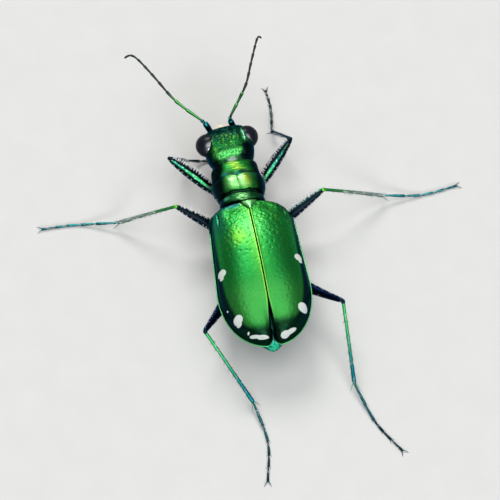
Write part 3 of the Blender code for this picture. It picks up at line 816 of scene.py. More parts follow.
def wing_finish():
    """Emerald wing cases with finely pitted shell, painted dark reflection on the flanks and the rear end,
    painted shade in the shoulder hollows and along the front edge, painted highlights beside the seam, a
    bright rim and cream spots.
    """
    f = metal_finish("wing_shell", Specular_Tint=(0.15, 0.45, 0.55, 1.0))
    left = f.x.rises(-0.02, 0.02)
    rim, from_seam, hollow = (f.mark(name) for name in ("rim", "seam", "hollow"))
    drift = f.noise(0.9, 2.0)
    speckle = f.noise(0.1, 2.0)
    cell = f.cells(0.085)

    # painted dark reflection: the navy band inside each side edge
    wall = f.mix_value(left, f.y.rises(-1.8, 3.4) * 0.25 + 0.14, f.y.rises(-0.9, 3.8) * 0.21 + 0.12)
    dark = (1 - (rim - wall.ragged(speckle, 0.12)).rises(0.0, 0.18)) * f.y.rises(-2.15, -1.6)
    # painted dark reflection on the rear end's downward slope
    apex_shade = ((f.y + abs(f.x) * 0.1).ragged(drift, 0.25) - left * 0.2).rises(4.34, 4.75)
    from_strip = from_seam - (f.y.rises(3.1, 5.0) * 0.15 + 0.002)
    # painted highlights: two thin yellow-green lines on the raised edges beside the seam
    seam_highlights = from_strip.hump(0.05, 0.045) * f.y.rises(4.5, 2.8)
    edge = rim.rises(0.055, 0.035) * f.y.rises(-1.6, -0.7)
    colour = f.laid(
        wing_greens(f, left, from_seam, drift, speckle),
        # painted shade in the hollow beside each shoulder
        (hollow * 0.95, (0.002, 0.02, 0.015)),
        (dark * 0.97, (0.002, 0.009, 0.016)),
        (apex_shade * 0.95, (0.003, 0.022, 0.01)),
        (from_strip.rises(0.02, 0.0), (0.003, 0.02, 0.01)),
        (seam_highlights * 0.85, (0.26, 0.66, 0.08)),
        (edge, (0.13, 0.6, 0.2)),
    )
    rough_front = f.y.rises(1.2, -1.3)
    grain = (0.94 + cell.rises(0.1, 0.5) * 0.12).ragged(speckle, 0.4 + rough_front * 0.5)
    # painted shade: the front edge next to the prothorax made darker
    colour = f.times(colour, grain * (1 - f.y.rises(-1.45, -1.95) * 0.26))
    spot = cream_spots(f)
    cream = f.mix(f.noise(0.2, 3.0), (0.66, 0.69, 0.63), (0.53, 0.56, 0.51))
    colour = f.mix(spot, colour, cream)

    relief = (cell.rises(0.0, 0.45) + speckle * 0.6) * (0.16 + rough_front * 0.9) * (1 - spot * 0.5)
    roughness = 0.36 + speckle * 0.08 + spot * 0.1
    coat = (1 - dark * 0.8) * (1 - apex_shade * 0.5) * 0.14
    return f.paint(colour, roughness, 1 - spot, relief, depth=0.009, coat=coat)


def fore_finish():
    """The prothorax: painted highlights on its two lobes and on its collar, which has gold in its middle,
    painted shade in its grooves and painted dark navy reflection on its flanks.
    """
    f = metal_finish("prothorax_shell")
    x = f.x - PROTHORAX_X
    speckle = f.noise(0.08, 3.0)
    wrinkle = f.noise(0.13, 3.0, stretch=(0.5, 1.7, 1.0))
    crests = f.noise(0.07, 2.0, stretch=(2.0, 0.5, 1.0)).rises(0.35, 0.6)
    # painted highlights on the two lobes, lighter on their crests
    lobes = f.y.rises(-3.9, -3.7) * f.y.rises(-2.92, -3.25) * (x - 0.1).hump(0.0, 0.84)
    lobe_highlight = f.mix(crests, (0.13, 0.5, 0.09), (0.34, 0.78, 0.27))
    # painted yellow highlight on the right lobe
    flame_highlight = x.hump(-0.38, 0.28) * f.y.hump(-3.42, 0.6)
    # painted lime highlight on the collar, in a slanting band
    slant = x - 0.13 + (f.y + 4.45) * 0.85
    collar_highlight = f.y.rises(-3.95, -4.12) * slant.hump(0.04, 0.42)
    collar_highlight_green = f.mix(wrinkle.rises(0.35, 0.6), (0.05, 0.22, 0.02), (0.2, 0.5, 0.04))
    gold = f.y.rises(-3.95, -4.2) * (x - 0.1).hump(0.0, 0.25) * wrinkle.rises(0.45, 0.65)
    rear = f.y.rises(-2.84, -2.72)
    teal = (x - 0.3).rises(0.0, 0.5).most((x + 0.05).hump(0.05, 0.25)) * f.y.rises(-3.5, -3.7)
    # painted shade in the grooves, teal towards their left end
    groove = f.mix(teal, (0.003, 0.035, 0.02), (0.004, 0.16, 0.14))
    # painted dark navy reflection on the flanks
    flank = (abs(x).ragged(speckle, 0.16) + f.y.rises(-3.9, -4.3) * 0.15).rises(0.66, 0.98)
    # painted glint on the left, behind the rear groove
    glint = x.hump(0.8, 0.2) * f.y.hump(-2.6, 0.2)
    colour = f.laid(
        f.mix(wrinkle, (0.008, 0.13, 0.02), (0.02, 0.28, 0.03)),
        (lobes.filled(1.5) * 0.92, lobe_highlight),
        (flame_highlight * 0.85, (0.26, 0.34, 0.008)),
        (collar_highlight.filled(1.4) * 0.9, collar_highlight_green),
        (gold * 0.8, (0.5, 0.42, 0.05)),
        # darker behind the rear groove, with painted highlights on the wrinkle crests in its middle
        (rear * 0.7, (0.004, 0.05, 0.02)),
        (rear * x.hump(0.0, 0.42) * wrinkle.rises(0.4, 0.6), (0.24, 0.6, 0.2)),
        (f.mark("groove"), groove),
        (flank * 0.985, (0.0012, 0.006, 0.007)),
        (glint.filled(1.5), (0.1, 0.6, 0.3)),
        (f.up.rises(0.1, -0.35) * 0.95, (0.004, 0.05, 0.045)),
    )
    colour = f.times(colour, 0.45 + speckle * 0.6 + wrinkle * 0.5)
    relief = wrinkle + speckle * 0.6
    coat = (1 - flank * 0.75) * 0.2
    return f.paint(colour, 0.3 + speckle * 0.14, relief=relief, depth=0.016, coat=coat)


def head_finish():
    """The head: green behind with a painted highlight band, painted highlight streaks by the eyes and on the
    neck, dark teal in front with painted glints, painted dark reflection on its flanks, navy below.
    """
    f = metal_finish("head_shell")
    slope = math.tan(math.radians(HEAD_TURN))
    x = f.x - HEAD_X + (f.y - HEAD_PIVOT[1]) * slope
    y = f.y - x * slope
    across, off = abs(x), abs(x - 0.2)
    speckle = f.noise(0.08, 3.0)
    grain = f.cells(0.07)
    middle = y.ragged(speckle, 0.5).rises(-6.3, -5.6)
    emerald = (f.noise(0.24, 2.0) + middle * 0.1).rises(0.54, 0.7) * y.rises(-6.7, -6.3)
    # painted highlight across the back of the head
    band_highlight = y.ragged(speckle, 0.12).hump(-5.12, 0.27) * (off + (y + 5.2) * 0.6).rises(0.88, 0.55)
    band_highlight_green = f.mix(speckle.rises(0.3, 0.65), (0.04, 0.3, 0.05), (0.1, 0.55, 0.12))
    # painted highlight streaks beside the eyes, broken up by a noise, the right one brighter and bluer
    right = x.rises(0.0, -0.1)
    reach = f.mix_value(right, y.hump(-5.42, 0.32) * 0.8, y.hump(-6.02, 0.55))
    highlight_streak = (across - right * 0.1).hump(0.8, 0.22) * reach
    highlight_mask = f.noise(0.1, 2.0, stretch=(2.2, 0.7, 1.0)).rises(0.38, 0.56)
    highlight_streak_green = f.mix(right, (0.1, 0.5, 0.08), (0.26, 0.85, 0.42))
    patches = f.noise(0.3, 1.0) * 0.35 + x.hump(-0.1, 0.7) * 0.08 + y.hump(-5.9, 0.7) * 0.1
    # painted glints scattered over the front of the head
    glitter = (f.noise(0.09, 2.0) + patches).rises(0.84, 1.0) * y.rises(-6.6, -6.2) * y.rises(-5.2, -5.4)
    # painted grey highlight on the neck
    neck_highlight = y.hump(-4.8, 0.18) * x.hump(0.08, 0.36)
    # painted dark navy reflection on the flanks
    flank = across.ragged(speckle, 0.14).rises(0.86, 1.06) * y.rises(-5.4, -5.9)
    flank = flank.most(off.ragged(speckle, 0.14).rises(0.72, 0.92) * y.rises(-5.75, -5.45))
    flank = flank.most(y.rises(-5.15, -4.95) * off.rises(0.45, 0.7))
    front = y.rises(-6.62, -6.8)
    colour = f.laid(
        f.mix(speckle, (0.001, 0.013, 0.011), (0.002, 0.034, 0.022)),
        (middle * 0.75, (0.004, 0.075, 0.012)),
        (emerald * 0.5, (0.005, 0.12, 0.022)),
        (band_highlight.filled(1.5) * 0.95, band_highlight_green),
        (highlight_streak.filled(1.5) * highlight_mask * 0.9, highlight_streak_green),
        (glitter * 0.75, (0.09, 0.28, 0.015)),
        (neck_highlight.filled(1.4) * 0.9, (0.22, 0.31, 0.25)),
        (flank * (1 - front) * 0.98, (0.0015, 0.007, 0.01)),
        (front * 0.9, (0.003, 0.05, 0.05)),
        (f.up.rises(0.1, -0.35) * 0.95, (0.003, 0.045, 0.045)),
    )
    colour = f.times(colour, 0.25 + grain.rises(0.1, 0.5) * 0.3 + speckle.rises(0.3, 0.7) * 0.9)
    relief = grain.rises(0.0, 0.5) * 0.5 + speckle + f.noise(0.05, 2.0, stretch=(1.6, 0.6, 1.0)) * 0.5
    coat = (1 - flank * 0.8) * (y.rises(-5.5, -5.1) * 0.1 + 0.03)
    return f.paint(colour, 0.3 + speckle * 0.15, relief=relief, depth=0.011, coat=coat)


def scutellum_finish():
    f = metal_finish("scutellum_shell")
    speckle = f.noise(0.07, 2.0)
    colour = f.mix(speckle, (0.08, 0.5, 0.12), (0.3, 0.75, 0.25))
    return f.paint(colour, 0.3 + speckle * 0.1, relief=speckle)


def under_finish():
    """Blue-black metallic underside that turns teal on the belly's edges and tip."""
    f = metal_finish("under_shell")
    speckle = f.noise(0.12, 3.0)
    edges = f.side.rises(0.2, 0.9).most(f.side.rises(-0.2, -0.9))
    colour = f.laid(
        f.mix(f.noise(0.8), (0.006, 0.05, 0.07), (0.008, 0.09, 0.07)),
        (edges * 0.6, (0.008, 0.14, 0.1)),
        (f.y.rises(4.9, 5.3) * f.noise(0.2).rises(0.35, 0.6), (0.01, 0.32, 0.17)),
    )
    colour = f.times(colour, 0.7 + speckle * 0.6)
    relief = f.cells(0.11).rises(0.0, 0.4) + speckle * 0.5
    return f.paint(colour, 0.3 + speckle * 0.15, relief=relief)


def limb_finish(name, top, flank, tip, tip_from, line=(0.4, 0.9), lean=0.0, turn=0.0, knee=None, shine=0.0):
    """A limb with a painted highlight line along its top, dark flanks and its own colours towards its ends.

    line says how far up the surface faces where the painted highlight line starts and where it is full. lean
    and turn tilt that facing to the rear and to the left. With some shine, the line gets painted glints and
    ends in teal.
    """
    f = metal_finish(name, **LIMB_METAL)
    speckle = f.noise(0.07, 3.0)
    share = f.mark("along")
    facing = (f.up + f.rear * lean + f.side * turn).ragged(speckle, 0.16)
    colour = f.mix(share.rises(tip_from, min(tip_from + 0.35, 1.0)), top, tip)
    if shine:
        facing = facing + share.rises(0.5, 0.95) * 0.065 - share.rises(0.3, 0.05) * 0.02
        # painted glints and teal on the highlight line
        glints = f.noise(0.1, 1.0).rises(0.52, 0.68) * share.rises(0.15, 0.45)
        teal = (share + f.x.rises(0.1, -0.1) * 0.2).hump(0.8, 0.22)
        colour = f.times(colour, share.rises(0.1, 0.55) * 0.75 + 0.25)
        colour = f.laid(colour, (teal * 0.85, (0.02, 0.46, 0.34)), (glints * shine, (0.42, 0.9, 0.62)))
    # painted highlight: the top colour only where the surface faces up, the flank colour elsewhere
    colour = f.mix(facing.rises(*line), flank, colour)
    if knee:
        colour = f.mix(share.rises(0.08, 0.02), colour, knee)
    colour = f.times(colour, 0.6 + speckle * 0.8)
    relief = f.cells(0.06).rises(0.0, 0.4) + speckle * 0.6
    return f.paint(colour, 0.26 + speckle * 0.16, relief=relief, depth=0.006)


def feeler_finish():
    """Metallic inner segments, green along a painted highlight line on top, and dull brown outer ones, set
    with the finest down.
    """
    f = metal_finish("feeler_shell", **LIMB_METAL)
    speckle = f.noise(0.05, 3.0)
    share = f.mark("along")
    # painted highlight along the top of each segment
    highlight_mask = f.up.rises(0.66, 0.92)
    inner = f.mix(highlight_mask, (0.002, 0.018, 0.012), (0.1, 0.62, 0.1))
    # the scape's teal is painted highlight on its upper side
    scape = f.mix(f.up.rises(0.45, 0.8), (0.002, 0.012, 0.018), (0.01, 0.22, 0.24))
    colour = f.mix(share.rises(0.13, 0.2), scape, inner)
    outer = share.rises(0.4, 0.5)
    dull = f.mix(highlight_mask, (0.012, 0.012, 0.009), (0.03, 0.05, 0.03))
    colour = f.mix(outer, colour, f.mix(speckle * 0.6, dull, (0.06, 0.05, 0.035)))
    relief = speckle + f.cells(0.03) * 0.5
    return f.paint(colour, 0.3 + outer * 0.22, 1 - outer * 0.6, relief, depth=0.005)


def eye_finish():
    """Near-black eyes with fine facets and a soft grey sheen."""
    coat = {"Coat_Roughness": 0.24, "Coat_IOR": 2.8, "Coat_Tint": (0.6, 0.82, 1.0, 1.0)}
    f = Finish("eye_facets", Specular_IOR_Level=0.05, **coat)
    facets = f.cells(0.034, jitter=0.25).rises(0.6, 0.0)
    cloud = f.noise(0.5, 2.0)
    colour = f.mix(cloud, (0.003, 0.004, 0.007), (0.007, 0.009, 0.015))
    x = f.x - HEAD_X
    inwards = f.side * x.rises(0.1, -0.1) - f.side * x.rises(-0.1, 0.1)
    sheen = (inwards * 0.15 + f.rear * 0.66 + f.up * 0.73).rises(0.8, 0.96) * 0.95 + 0.05
    return f.paint(colour, 0.34 + cloud * 0.1, relief=facets, depth=0.002, coat=sheen)


def lip_finish():
    f = Finish("lip_plate_shell", Coat_Weight=0.2, Coat_Roughness=0.3)
    cloud = f.noise(0.25, 3.0)
    colour = f.mix(cloud, (0.7, 0.6, 0.42), (0.85, 0.78, 0.6))
    colour = f.mix(f.y.rises(-7.48, -7.56) * 0.5, colour, (0.3, 0.16, 0.06))
    return f.paint(colour, 0.36 + cloud * 0.14, relief=cloud)


def jaw_finish():
    """Jaws that are cream at the root and dark metallic at the point."""
    f = Finish("jaw_shell", Coat_Weight=0.3, Coat_Roughness=0.2)
    cloud = f.noise(0.15, 3.0)
    dark = (f.mark("along") + (cloud - 0.5) * 0.2).rises(0.42, 0.6)
    colour = f.mix(dark, (0.68, 0.58, 0.38), (0.02, 0.012, 0.01))
    return f.paint(colour, 0.32 - dark * 0.08 + cloud * 0.08, relief=cloud, depth=0.008)


def palp_finish():
    f = Finish("palp_shell", Coat_Weight=0.3, Coat_Roughness=0.25)
    cloud = f.noise(0.1, 3.0)
    dark = (f.mark("along") + (cloud - 0.5) * 0.15).rises(0.55, 0.8)
    colour = f.mix(dark, (0.22, 0.13, 0.06), (0.01, 0.05, 0.035))
    return f.paint(colour, 0.38 + cloud * 0.1, dark * 0.8, cloud, depth=0.006)


def bristle_finish():
    f = Finish("bristle_white", Roughness=0.45, Specular_IOR_Level=0.5)
    cloud = f.noise(0.3, 1.0)
    colour = f.mix(cloud, (0.62, 0.62, 0.6), (0.76, 0.76, 0.74))
    return f.paint(colour, 0.4 + cloud * 0.15)


# Wing cases

def wing_half(y):
    """How far out the wing case's outline lies."""
    half = WING_HALF - WING_SPREAD * np.maximum(WING_WIDEST - y, 0)
    into = np.clip((y - WING_FRONT) / SHOULDER, 0, 1)
    half = half * (SHOULDER_HALF + (1 - SHOULDER_HALF) * np.sqrt(1 - (1 - into) ** 2))
    past = np.clip((y - WING_WIDEST) / (WING_REAR - WING_WIDEST), 0, 1)
    return half * (1 - past**WING_REAR_ROUND) ** (1 / WING_REAR_ROUND)


def wing_top(y):
    """The height of the back beside the seam."""
    ahead = np.maximum(WING_TOP_Y - y, 0) / (WING_TOP_Y - WING_FRONT)
    behind = np.maximum(y - WING_TOP_Y, 0) / (WING_REAR - WING_TOP_Y)
    return WING_TOP - WING_TOP_FRONT_DROP * ahead**2 - WING_TOP_REAR_DROP * behind**WING_REAR_CURVE


def wing_edge(y):
    """The height of the side wall's lower edge."""
    shoulder = np.maximum(1 - (y - WING_FRONT) / SHOULDER, 0)
    rear = np.maximum(y - WING_WIDEST, 0) / (WING_REAR - WING_WIDEST)
    return WING_EDGE + WING_EDGE_LIFT * shoulder**2 - WING_EDGE_DROP * rear**2


def wing_plan():
    """The outline of the left wing case with its outward ways, and the inner line it is spun from."""
    y = WING_REAR - (WING_REAR - WING_FRONT) * np.linspace(1, 0, 6000) ** 4
    outline = np.stack([wing_half(y), y], 1)
    outline = along(outline[outline[:, 0] > WING_END_X], np.linspace(0, 1, WING_ROWS))
    ahead = unit(np.gradient(outline, axis=0))
    y = outline[:, 1]
    fan = np.searchsorted(y, FAN_FROM)
    behind = np.clip((np.arange(WING_ROWS) - fan) / (WING_ROWS - 1 - fan), 0, 1)
    inner_y = np.where(y < FAN_FROM, y, FAN_FROM + (FAN_TO - FAN_FROM) * behind)
    notch = SCUTELLUM_HALF * np.clip(1 - (y - WING_FRONT) / SCUTELLUM_LENGTH, 0, 1)
    inner = np.stack([SEAM + SEAM_GAPE * ease(y, 3.8, 5.3) + notch, inner_y], 1)
    return outline, np.stack([ahead[:, 1], -ahead[:, 0]], 1), inner


def wing_table():
    """The left wing case from its seam over its back and side wall and round its rim, row by row."""
    outline, out, inner = wing_plan()
    foot = outline - out * WALL_IN
    spoke = unit(foot - inner)
    edge, top = wing_edge(outline[:, 1]), wing_top(inner[:, 1])
    foot_z = edge + SIDE_RIM[0][1]

    plans, heights = [], []
    for outward, upward in smooth_rows(SEAM_EDGE, SEAM_COLUMNS):
        plans.append(inner + spoke * outward)
        heights.append(top + upward)
    start = inner + spoke * SEAM_EDGE[-1][0]
    for turn in np.linspace(0, math.pi / 2, BACK_COLUMNS + 1)[1:]:
        share, fall = (part(turn) ** (2 / SQUARENESS) for part in (math.sin, math.cos))
        plans.append(start + (foot - start) * share)
        heights.append(foot_z + (top - foot_z) * fall)
    for outward, upward in smooth_rows(SIDE_RIM, RIM_COLUMNS)[1:]:
        plan = outline + out * outward
        plan[:, 0] = np.maximum(plan[:, 0], np.minimum(outline[:, 0], WING_END_X))
        plans.append(plan)
        heights.append(edge + upward)
    table = np.dstack([np.stack(plans, 1), np.stack(heights, 1)])

    front = table[:1].repeat(len(FRONT_ROLL), axis=0)
    above = np.clip((front[0, :, 2] - edge[0] - 0.06) / 0.35, 0, 1)
    for step, (forward, fall) in enumerate(FRONT_ROLL):
        front[step, :, 1] -= forward * (0.3 + 0.7 * above)
        front[step, :, 2] -= fall * above
    table = np.concatenate([front, table], 0)
    outline = np.concatenate([outline[:1].repeat(len(FRONT_ROLL), axis=0), outline], 0)
    rim = np.linalg.norm(table[:, :, :2] - outline[:, None], axis=2)
    rim[:, SEAM_COLUMNS + BACK_COLUMNS + RIM_COLUMNS // 2 :] = 0.0
    return table, rim, np.maximum(table[:, :, 0] - SEAM, 0)


def wing_relief(table):
    """How far the shell stands out or in, and how strongly shade is painted into the hollow beside each
    shoulder.
    """
    x, y = table[..., 0], table[..., 1]
    beside = 1.66 + 0.12 * (y + 1.3)
    rise = 0.05 * hump(x, 1.42, 0.22) * hump(y, -1.55, 0.35)
    rise -= 0.09 * hump(x, beside, 0.06) * hump(y, -1.4, 0.42)
    rise -= 0.05 * hump(x, 0.85, 0.3) * hump(y, -1.75, 0.18)
    upper = ease(table_normals(table)[..., 2], 0.25, 0.6)
    for row, line in enumerate(np.arange(-1.85, 4.9, PIT_STEP_Y)):
        for place in np.arange(0.32, 2.1, PIT_STEP_X):
            pit_x = place + RANDOM.uniform(-PIT_STRAY, PIT_STRAY) + PIT_STEP_X / 2 * (row % 2)
            pit_y = line + RANDOM.uniform(-PIT_STRAY, PIT_STRAY)
            depth = PIT_DEPTHS[int(line >= PIT_CHANGE)]
            rise -= depth * hump(x, pit_x, PIT_HALF) * hump(y, pit_y, PIT_HALF) * upper
    rough = 0.001 + 0.0045 * ease(-y, -1.2, 1.3)
    rise += rough * np.sin(x * 23 + 2 * np.sin(y * 9)) * np.sin(y * 21 + x * 7) * upper
    return rise, hump(x, beside, 0.045) * hump(y, -1.4, 0.38)


def build_wings():
    """Both wing cases, of which each strays from the other's mirror image as the real ones do."""
    table, rim, from_seam = wing_table()
    shell = wing_finish()
    stray_y, stray_x = np.array(SEAM_LINE).T
    apart = np.clip(1 - table[..., 0] / PARTING, 0, 1) ** 2.2 * ease(table[..., 1], 4.3, 5.4)
    for side, sign in SIDES:
        rise, hollow = wing_relief(table)
        own = (table + table_normals(table) * rise[..., None]) * np.array((sign, 1, 1))
        inner = np.clip(1 - (own[..., 0] / 1.9) ** 2, 0, 1)
        own[..., 0] += np.interp(own[..., 1], stray_y, stray_x) * inner
        shoulder = (own[..., 0] / 1.65) ** 2 * (1 - ease(own[..., 1], -2.1, -1.0))
        own[..., :2] += shoulder[..., None] * np.array(SHOULDER_SHIFT[side])
        own[..., 1] -= PARTING * apart
        piece = wrapped("wing_case_" + side, own, outwards=sign, rim=rim, seam=from_seam, hollow=hollow)
        modified(piece, "SOLIDIFY", thickness=WING_SHELL * MM, offset=-1.0)
        finished(piece, shell, ["elytron_" + side], angle=70)


# Body

def build_prothorax():
    """The prothorax with its two cross grooves, its middle line, its side seams and fine wrinkles."""
    table = barrel(PROTHORAX, PROTHORAX_X, 150, 181)
    out = outward(table)
    x, y, up = table[..., 0] - PROTHORAX_X, table[..., 1], out[..., 2]
    upper = ease(up, -0.1, 0.6)
    dip = 0.14 * hump(x, 0.0, 0.28)
    front = hump(y, -4.0 + dip + 0.12 * x**2, 0.1)
    rear = hump(y, -2.84 - 0.07 * hump(x, 0.0, 0.2) + 0.06 * np.cos(x * 6) * hump(x, 0, 0.6), 0.06)
    line = 0.5 * hump(x, 0.0, 0.035) * ease(y, -3.95, -3.8) * ease(y, -2.85, -3.0)
    corner = hump(np.abs(x), 0.85, 0.16) * hump(y, -2.9, 0.12)
    lobes = hump(np.abs(x), 0.42, 0.35) * hump(y, -3.4, 0.4)
    seam = hump(up, -0.12, 0.07) * ease(y, -4.5, -4.3) * ease(y, -2.4, -2.5)
    wrinkles = np.sin(y * 55 + 3 * np.sin(x * 5) + np.sin(x * 17))
    rise = -0.1 * front * upper - 0.11 * rear * upper - 0.06 * line - 0.08 * corner * upper
    rise += 0.045 * lobes * upper - 0.03 * seam + 0.006 * wrinkles * upper
    # where shade is painted into the grooves
    groove = np.clip((front + rear) * upper * 0.95 + line * 0.7 + corner * upper * 0.8, 0, 1)
    table = table + out * rise[..., None]
    ahead = ease(-y, 2.6, 4.6)
    table[..., 1] += (table[..., 0] - PROTHORAX_X) * math.tan(math.radians(COLLAR_TURN)) * ahead
    table[..., 0] += COLLAR_BEND * ahead
    piece = wrapped("pronotum", table, closed=True, groove=groove)
    finished(piece, fore_finish(), ["prothorax"])


def build_scutellum():
    """The small triangle between the front ends of the wing cases, crowned and pointed."""
    front, rear = WING_FRONT - 0.16, WING_FRONT + SCUTELLUM_LENGTH - 0.03
    u, v = np.meshgrid(np.linspace(-1, 1, 25), np.linspace(0, 1, 25))
    half = (SCUTELLUM_HALF + 0.02) * (1 - v) ** 0.9 + 0.015
    x = u * half
    y = front + (rear - front) * v
    top = wing_top(WING_FRONT) + 0.035
    z = top - 0.1 * u**2 - 0.13 * (1 - v) ** 2 - 0.05 * v
    piece = wrapped("shield_plate", np.stack([x, y, z], 2))
    modified(piece, "SOLIDIFY", thickness=SCUTELLUM_SHELL * MM, offset=-1.0)
    finished(piece, scutellum_finish(), ["scutellum"])


def build_breast(shell):
    """The thorax under the wing cases, with a keel and the seams of its plates."""
    table = barrel(THORAX, 0.0, 110, 161, BODY_SQUARENESS)
    out = outward(table)
    x, y, z, up = table[..., 0], table[..., 1], table[..., 2], out[..., 2]
    across = np.abs(x)
    lower = ease(-up, 0.1, 0.7)
    flank = ease(np.abs(up), 0.75, 0.3)
    keel = hump(x, 0.0, 0.04) * ease(y, -1.0, -0.7)
    front_seam = hump(y, -0.72 + 0.12 * across, 0.06)
    rear_seam = hump(y, 0.2 + 0.2 * across, 0.05) * ease(across, 0.1, 0.3)
    flank_seams = hump(y, -1.5, 0.05) + hump(y, -0.45 + 0.25 * (z - 2.2), 0.05)
    rise = -(0.05 * keel + 0.06 * front_seam + 0.05 * rear_seam) * lower - 0.05 * flank_seams * flank
    piece = wrapped("breast", table + out * rise[..., None], closed=True)
    finished(piece, shell, ["pterothorax"])


def build_belly(shell):
    """The abdomen, whose plates each overlap the next with a low step as far as the wing cases' tip."""
    y = np.linspace(ABDOMEN_FRONT, ABDOMEN_REAR - 0.004, 200)
    past = np.clip((y - WING_WIDEST) / (ABDOMEN_REAR - WING_WIDEST), 0, 1)
    half = ABDOMEN_HALF * np.sqrt(1 - past**1.9)
    half *= 1 - 0.22 * ease(y, 3.6, 5.2) - 0.25 * ease(y, 4.9, 5.4)
    bottom = VENTER + ABDOMEN_LIFT * past**2
    top = np.minimum(wing_edge(np.minimum(y, WING_REAR)) + 0.25 - 0.55 * ease(y, 4.4, 5.5), 3.2)
    long = PLATES_END - ABDOMEN_FRONT
    into = np.clip(y - ABDOMEN_FRONT, 0, long) / (long / ABDOMEN_PLATES) % 1.0
    step = (0.09 * into * ease(into, 1.0, 0.9) - 0.03) * (y < PLATES_END)
    keys = np.stack([y, half + step * 0.6, top, bottom - step], 1)
    table = oval_table(*keys.T[:, :, None], 0.0, 161, 2.2)
    finished(wrapped("belly", table, closed=True), shell, ["abdomen"])


# Head

def head_relief(x, y, z, up):
    """How far the head stands out or in, x being measured from its middle line."""
    across = np.abs(x)
    frons = hump(across, 0.0, 0.55) * ease(y, -6.75, -6.4) * ease(y, -5.3, -5.7)
    brows = hump(across, 0.86, 0.1) * ease(y, -6.8, -6.55) * ease(y, -5.4, -5.7)
    ridges = np.sin(across * math.tau / 0.065 + 0.8 * (y + 6.2))
    ridges *= ease(across, 0.38, 0.5) * ease(y, -6.85, -6.6) * ease(y, -5.3, -5.6)
    grain = np.sin(x * 37 + 2 * np.sin(y * 15)) * np.sin(y * 41 + 2 * np.sin(x * 11))
    lip_seam = hump(y, -6.62 + 0.12 * np.cos(x * 4), 0.05) * hump(across, 0.0, 0.75)
    dents = hump(across, 0.36, 0.1) * hump(y, -6.55, 0.14)
    neck = hump(y, -5.0 + 0.1 * across, 0.08)
    top = 0.05 * brows - 0.07 * frons - 0.035 * lip_seam - 0.05 * dents - 0.04 * neck
    top += (0.007 * ridges + 0.006 * grain) * ease(across, 0.84, 0.72)
    brim = hump(z, 2.5, 0.03) * ease(y, -6.85, -6.93)
    sockets = hump(across, 0.63, 0.13) * hump(z, 2.66, 0.14) * ease(y, -6.7, -6.85)
    throat = hump(across, 0.36, 0.05) * ease(-up, 0.4, 0.8) * ease(y, -5.0, -5.4)
    return top * ease(up, 0.1, 0.6) - 0.05 * brim - 0.07 * sockets - 0.06 * throat


def build_head():
    """The head with its wrinkled front between raised brows, and the two bulging eyes."""
    table = barrel(HEAD, HEAD_X, 210, 241, BODY_SQUARENESS)
    out = outward(table)
    rise = head_relief(table[..., 0] - HEAD_X, table[..., 1], table[..., 2], out[..., 2])
    piece = wrapped("head_capsule", head_turned(table + out * rise[..., None]), closed=True)
    finished(piece, head_finish(), ["head"])

    facets = eye_finish()
    for side, sign in SIDES:
        bpy.ops.object.select_all(action="DESELECT")
        bpy.ops.mesh.primitive_uv_sphere_add(segments=72, ring_count=44, radius=1.0)
        piece = started("eye_dome_" + side)
        ball = coordinates(piece)
        x, y, z = ball.T * np.array((sign, 1, 1))[:, None]
        notch = 0.13 * hump(y, -0.75, 0.45) * hump(z, 0.25, 0.5) * hump(x, -0.3, 0.6)
        swell = 1 - notch + 0.03 * x
        middle, half = np.array(EYES[side])
        points = ball * swell[:, None] * half + middle + np.array((HEAD_X, 0, 0))
        piece.data.vertices.foreach_set("co", placed(head_turned(points)).ravel())
        finished(piece, facets, ["eye_" + side])


def mouth_path(points, count, sign=1, lift=0.0):
    """A smooth path through points given from the head's middle line, for one side of the mouth."""
    shift = np.array((HEAD_X, 0.0, lift))
    return head_turned(smooth_rows(points, count) * np.array((sign, 1, 1)) + shift)


def palp_segments(path, segments, swell):
    """The segments of a palp, each swelling towards its end."""
    parts = []
    for first, last, half in segments:
        own = along(path, np.linspace(first, last, len(swell)))
        parts.append(grown("segment", own, half * np.array(swell), sides=10, shares=(first, last)))
    return parts


def build_lip():
    """The pale plate over the jaws, with three small teeth on its front edge."""
    u, v = np.meshgrid(np.linspace(-1, 1, 97), np.linspace(0, 1, 33))
    x = u * LABRUM_HALF * (1 - 0.06 * v**3)
    tip = LABRUM_FRONT + 0.36 * np.abs(u) ** 4.5
    y = LABRUM_BACK + (tip - LABRUM_BACK) * v
    for tooth, size in LABRUM_TEETH:
        y = y - size * hump(x, tooth, 0.045) * v**8
    z = LABRUM_TOP - 0.16 * u**2 - 0.16 * v**2 + 0.03 * hump(u, 0, 0.3) * v - 0.02 * hump(v, 0.8, 0.1)
    piece = wrapped("lip_plate", head_turned(np.stack([x + HEAD_X, y, z], 2)))
    modified(piece, "SOLIDIFY", thickness=LABRUM_SHELL * MM, offset=-1.0)
    finished(piece, lip_finish(), ["labrum"])


def build_jaw(side, sign, shell):
    """A long curved jaw with teeth on its inner side."""
    path = mouth_path(MANDIBLE, 15, sign, -0.03 if side == "right" else 0.0)
    widths = smooth_rows(np.array(MANDIBLE_WIDTHS)[:, None], 15)[:, 0]
    parts = [grown("blade", path, widths, widths * 1.15, sides=12)]
    way = unit(np.array((-0.85 * sign, -0.4, -0.35)))
    into = np.linspace(0, 1, 5)[:, None]
    for share, size in JAW_TEETH:
        tooth = along(path, [share])[0] + way * into * size
        parts.append(grown("tooth", tooth, 0.07 * (1 - 0.85 * into[:, 0]), sides=8, shares=(0.7, 1.0)))
    finished(joined("jaw_" + side, parts), shell, ["mandible_" + side])


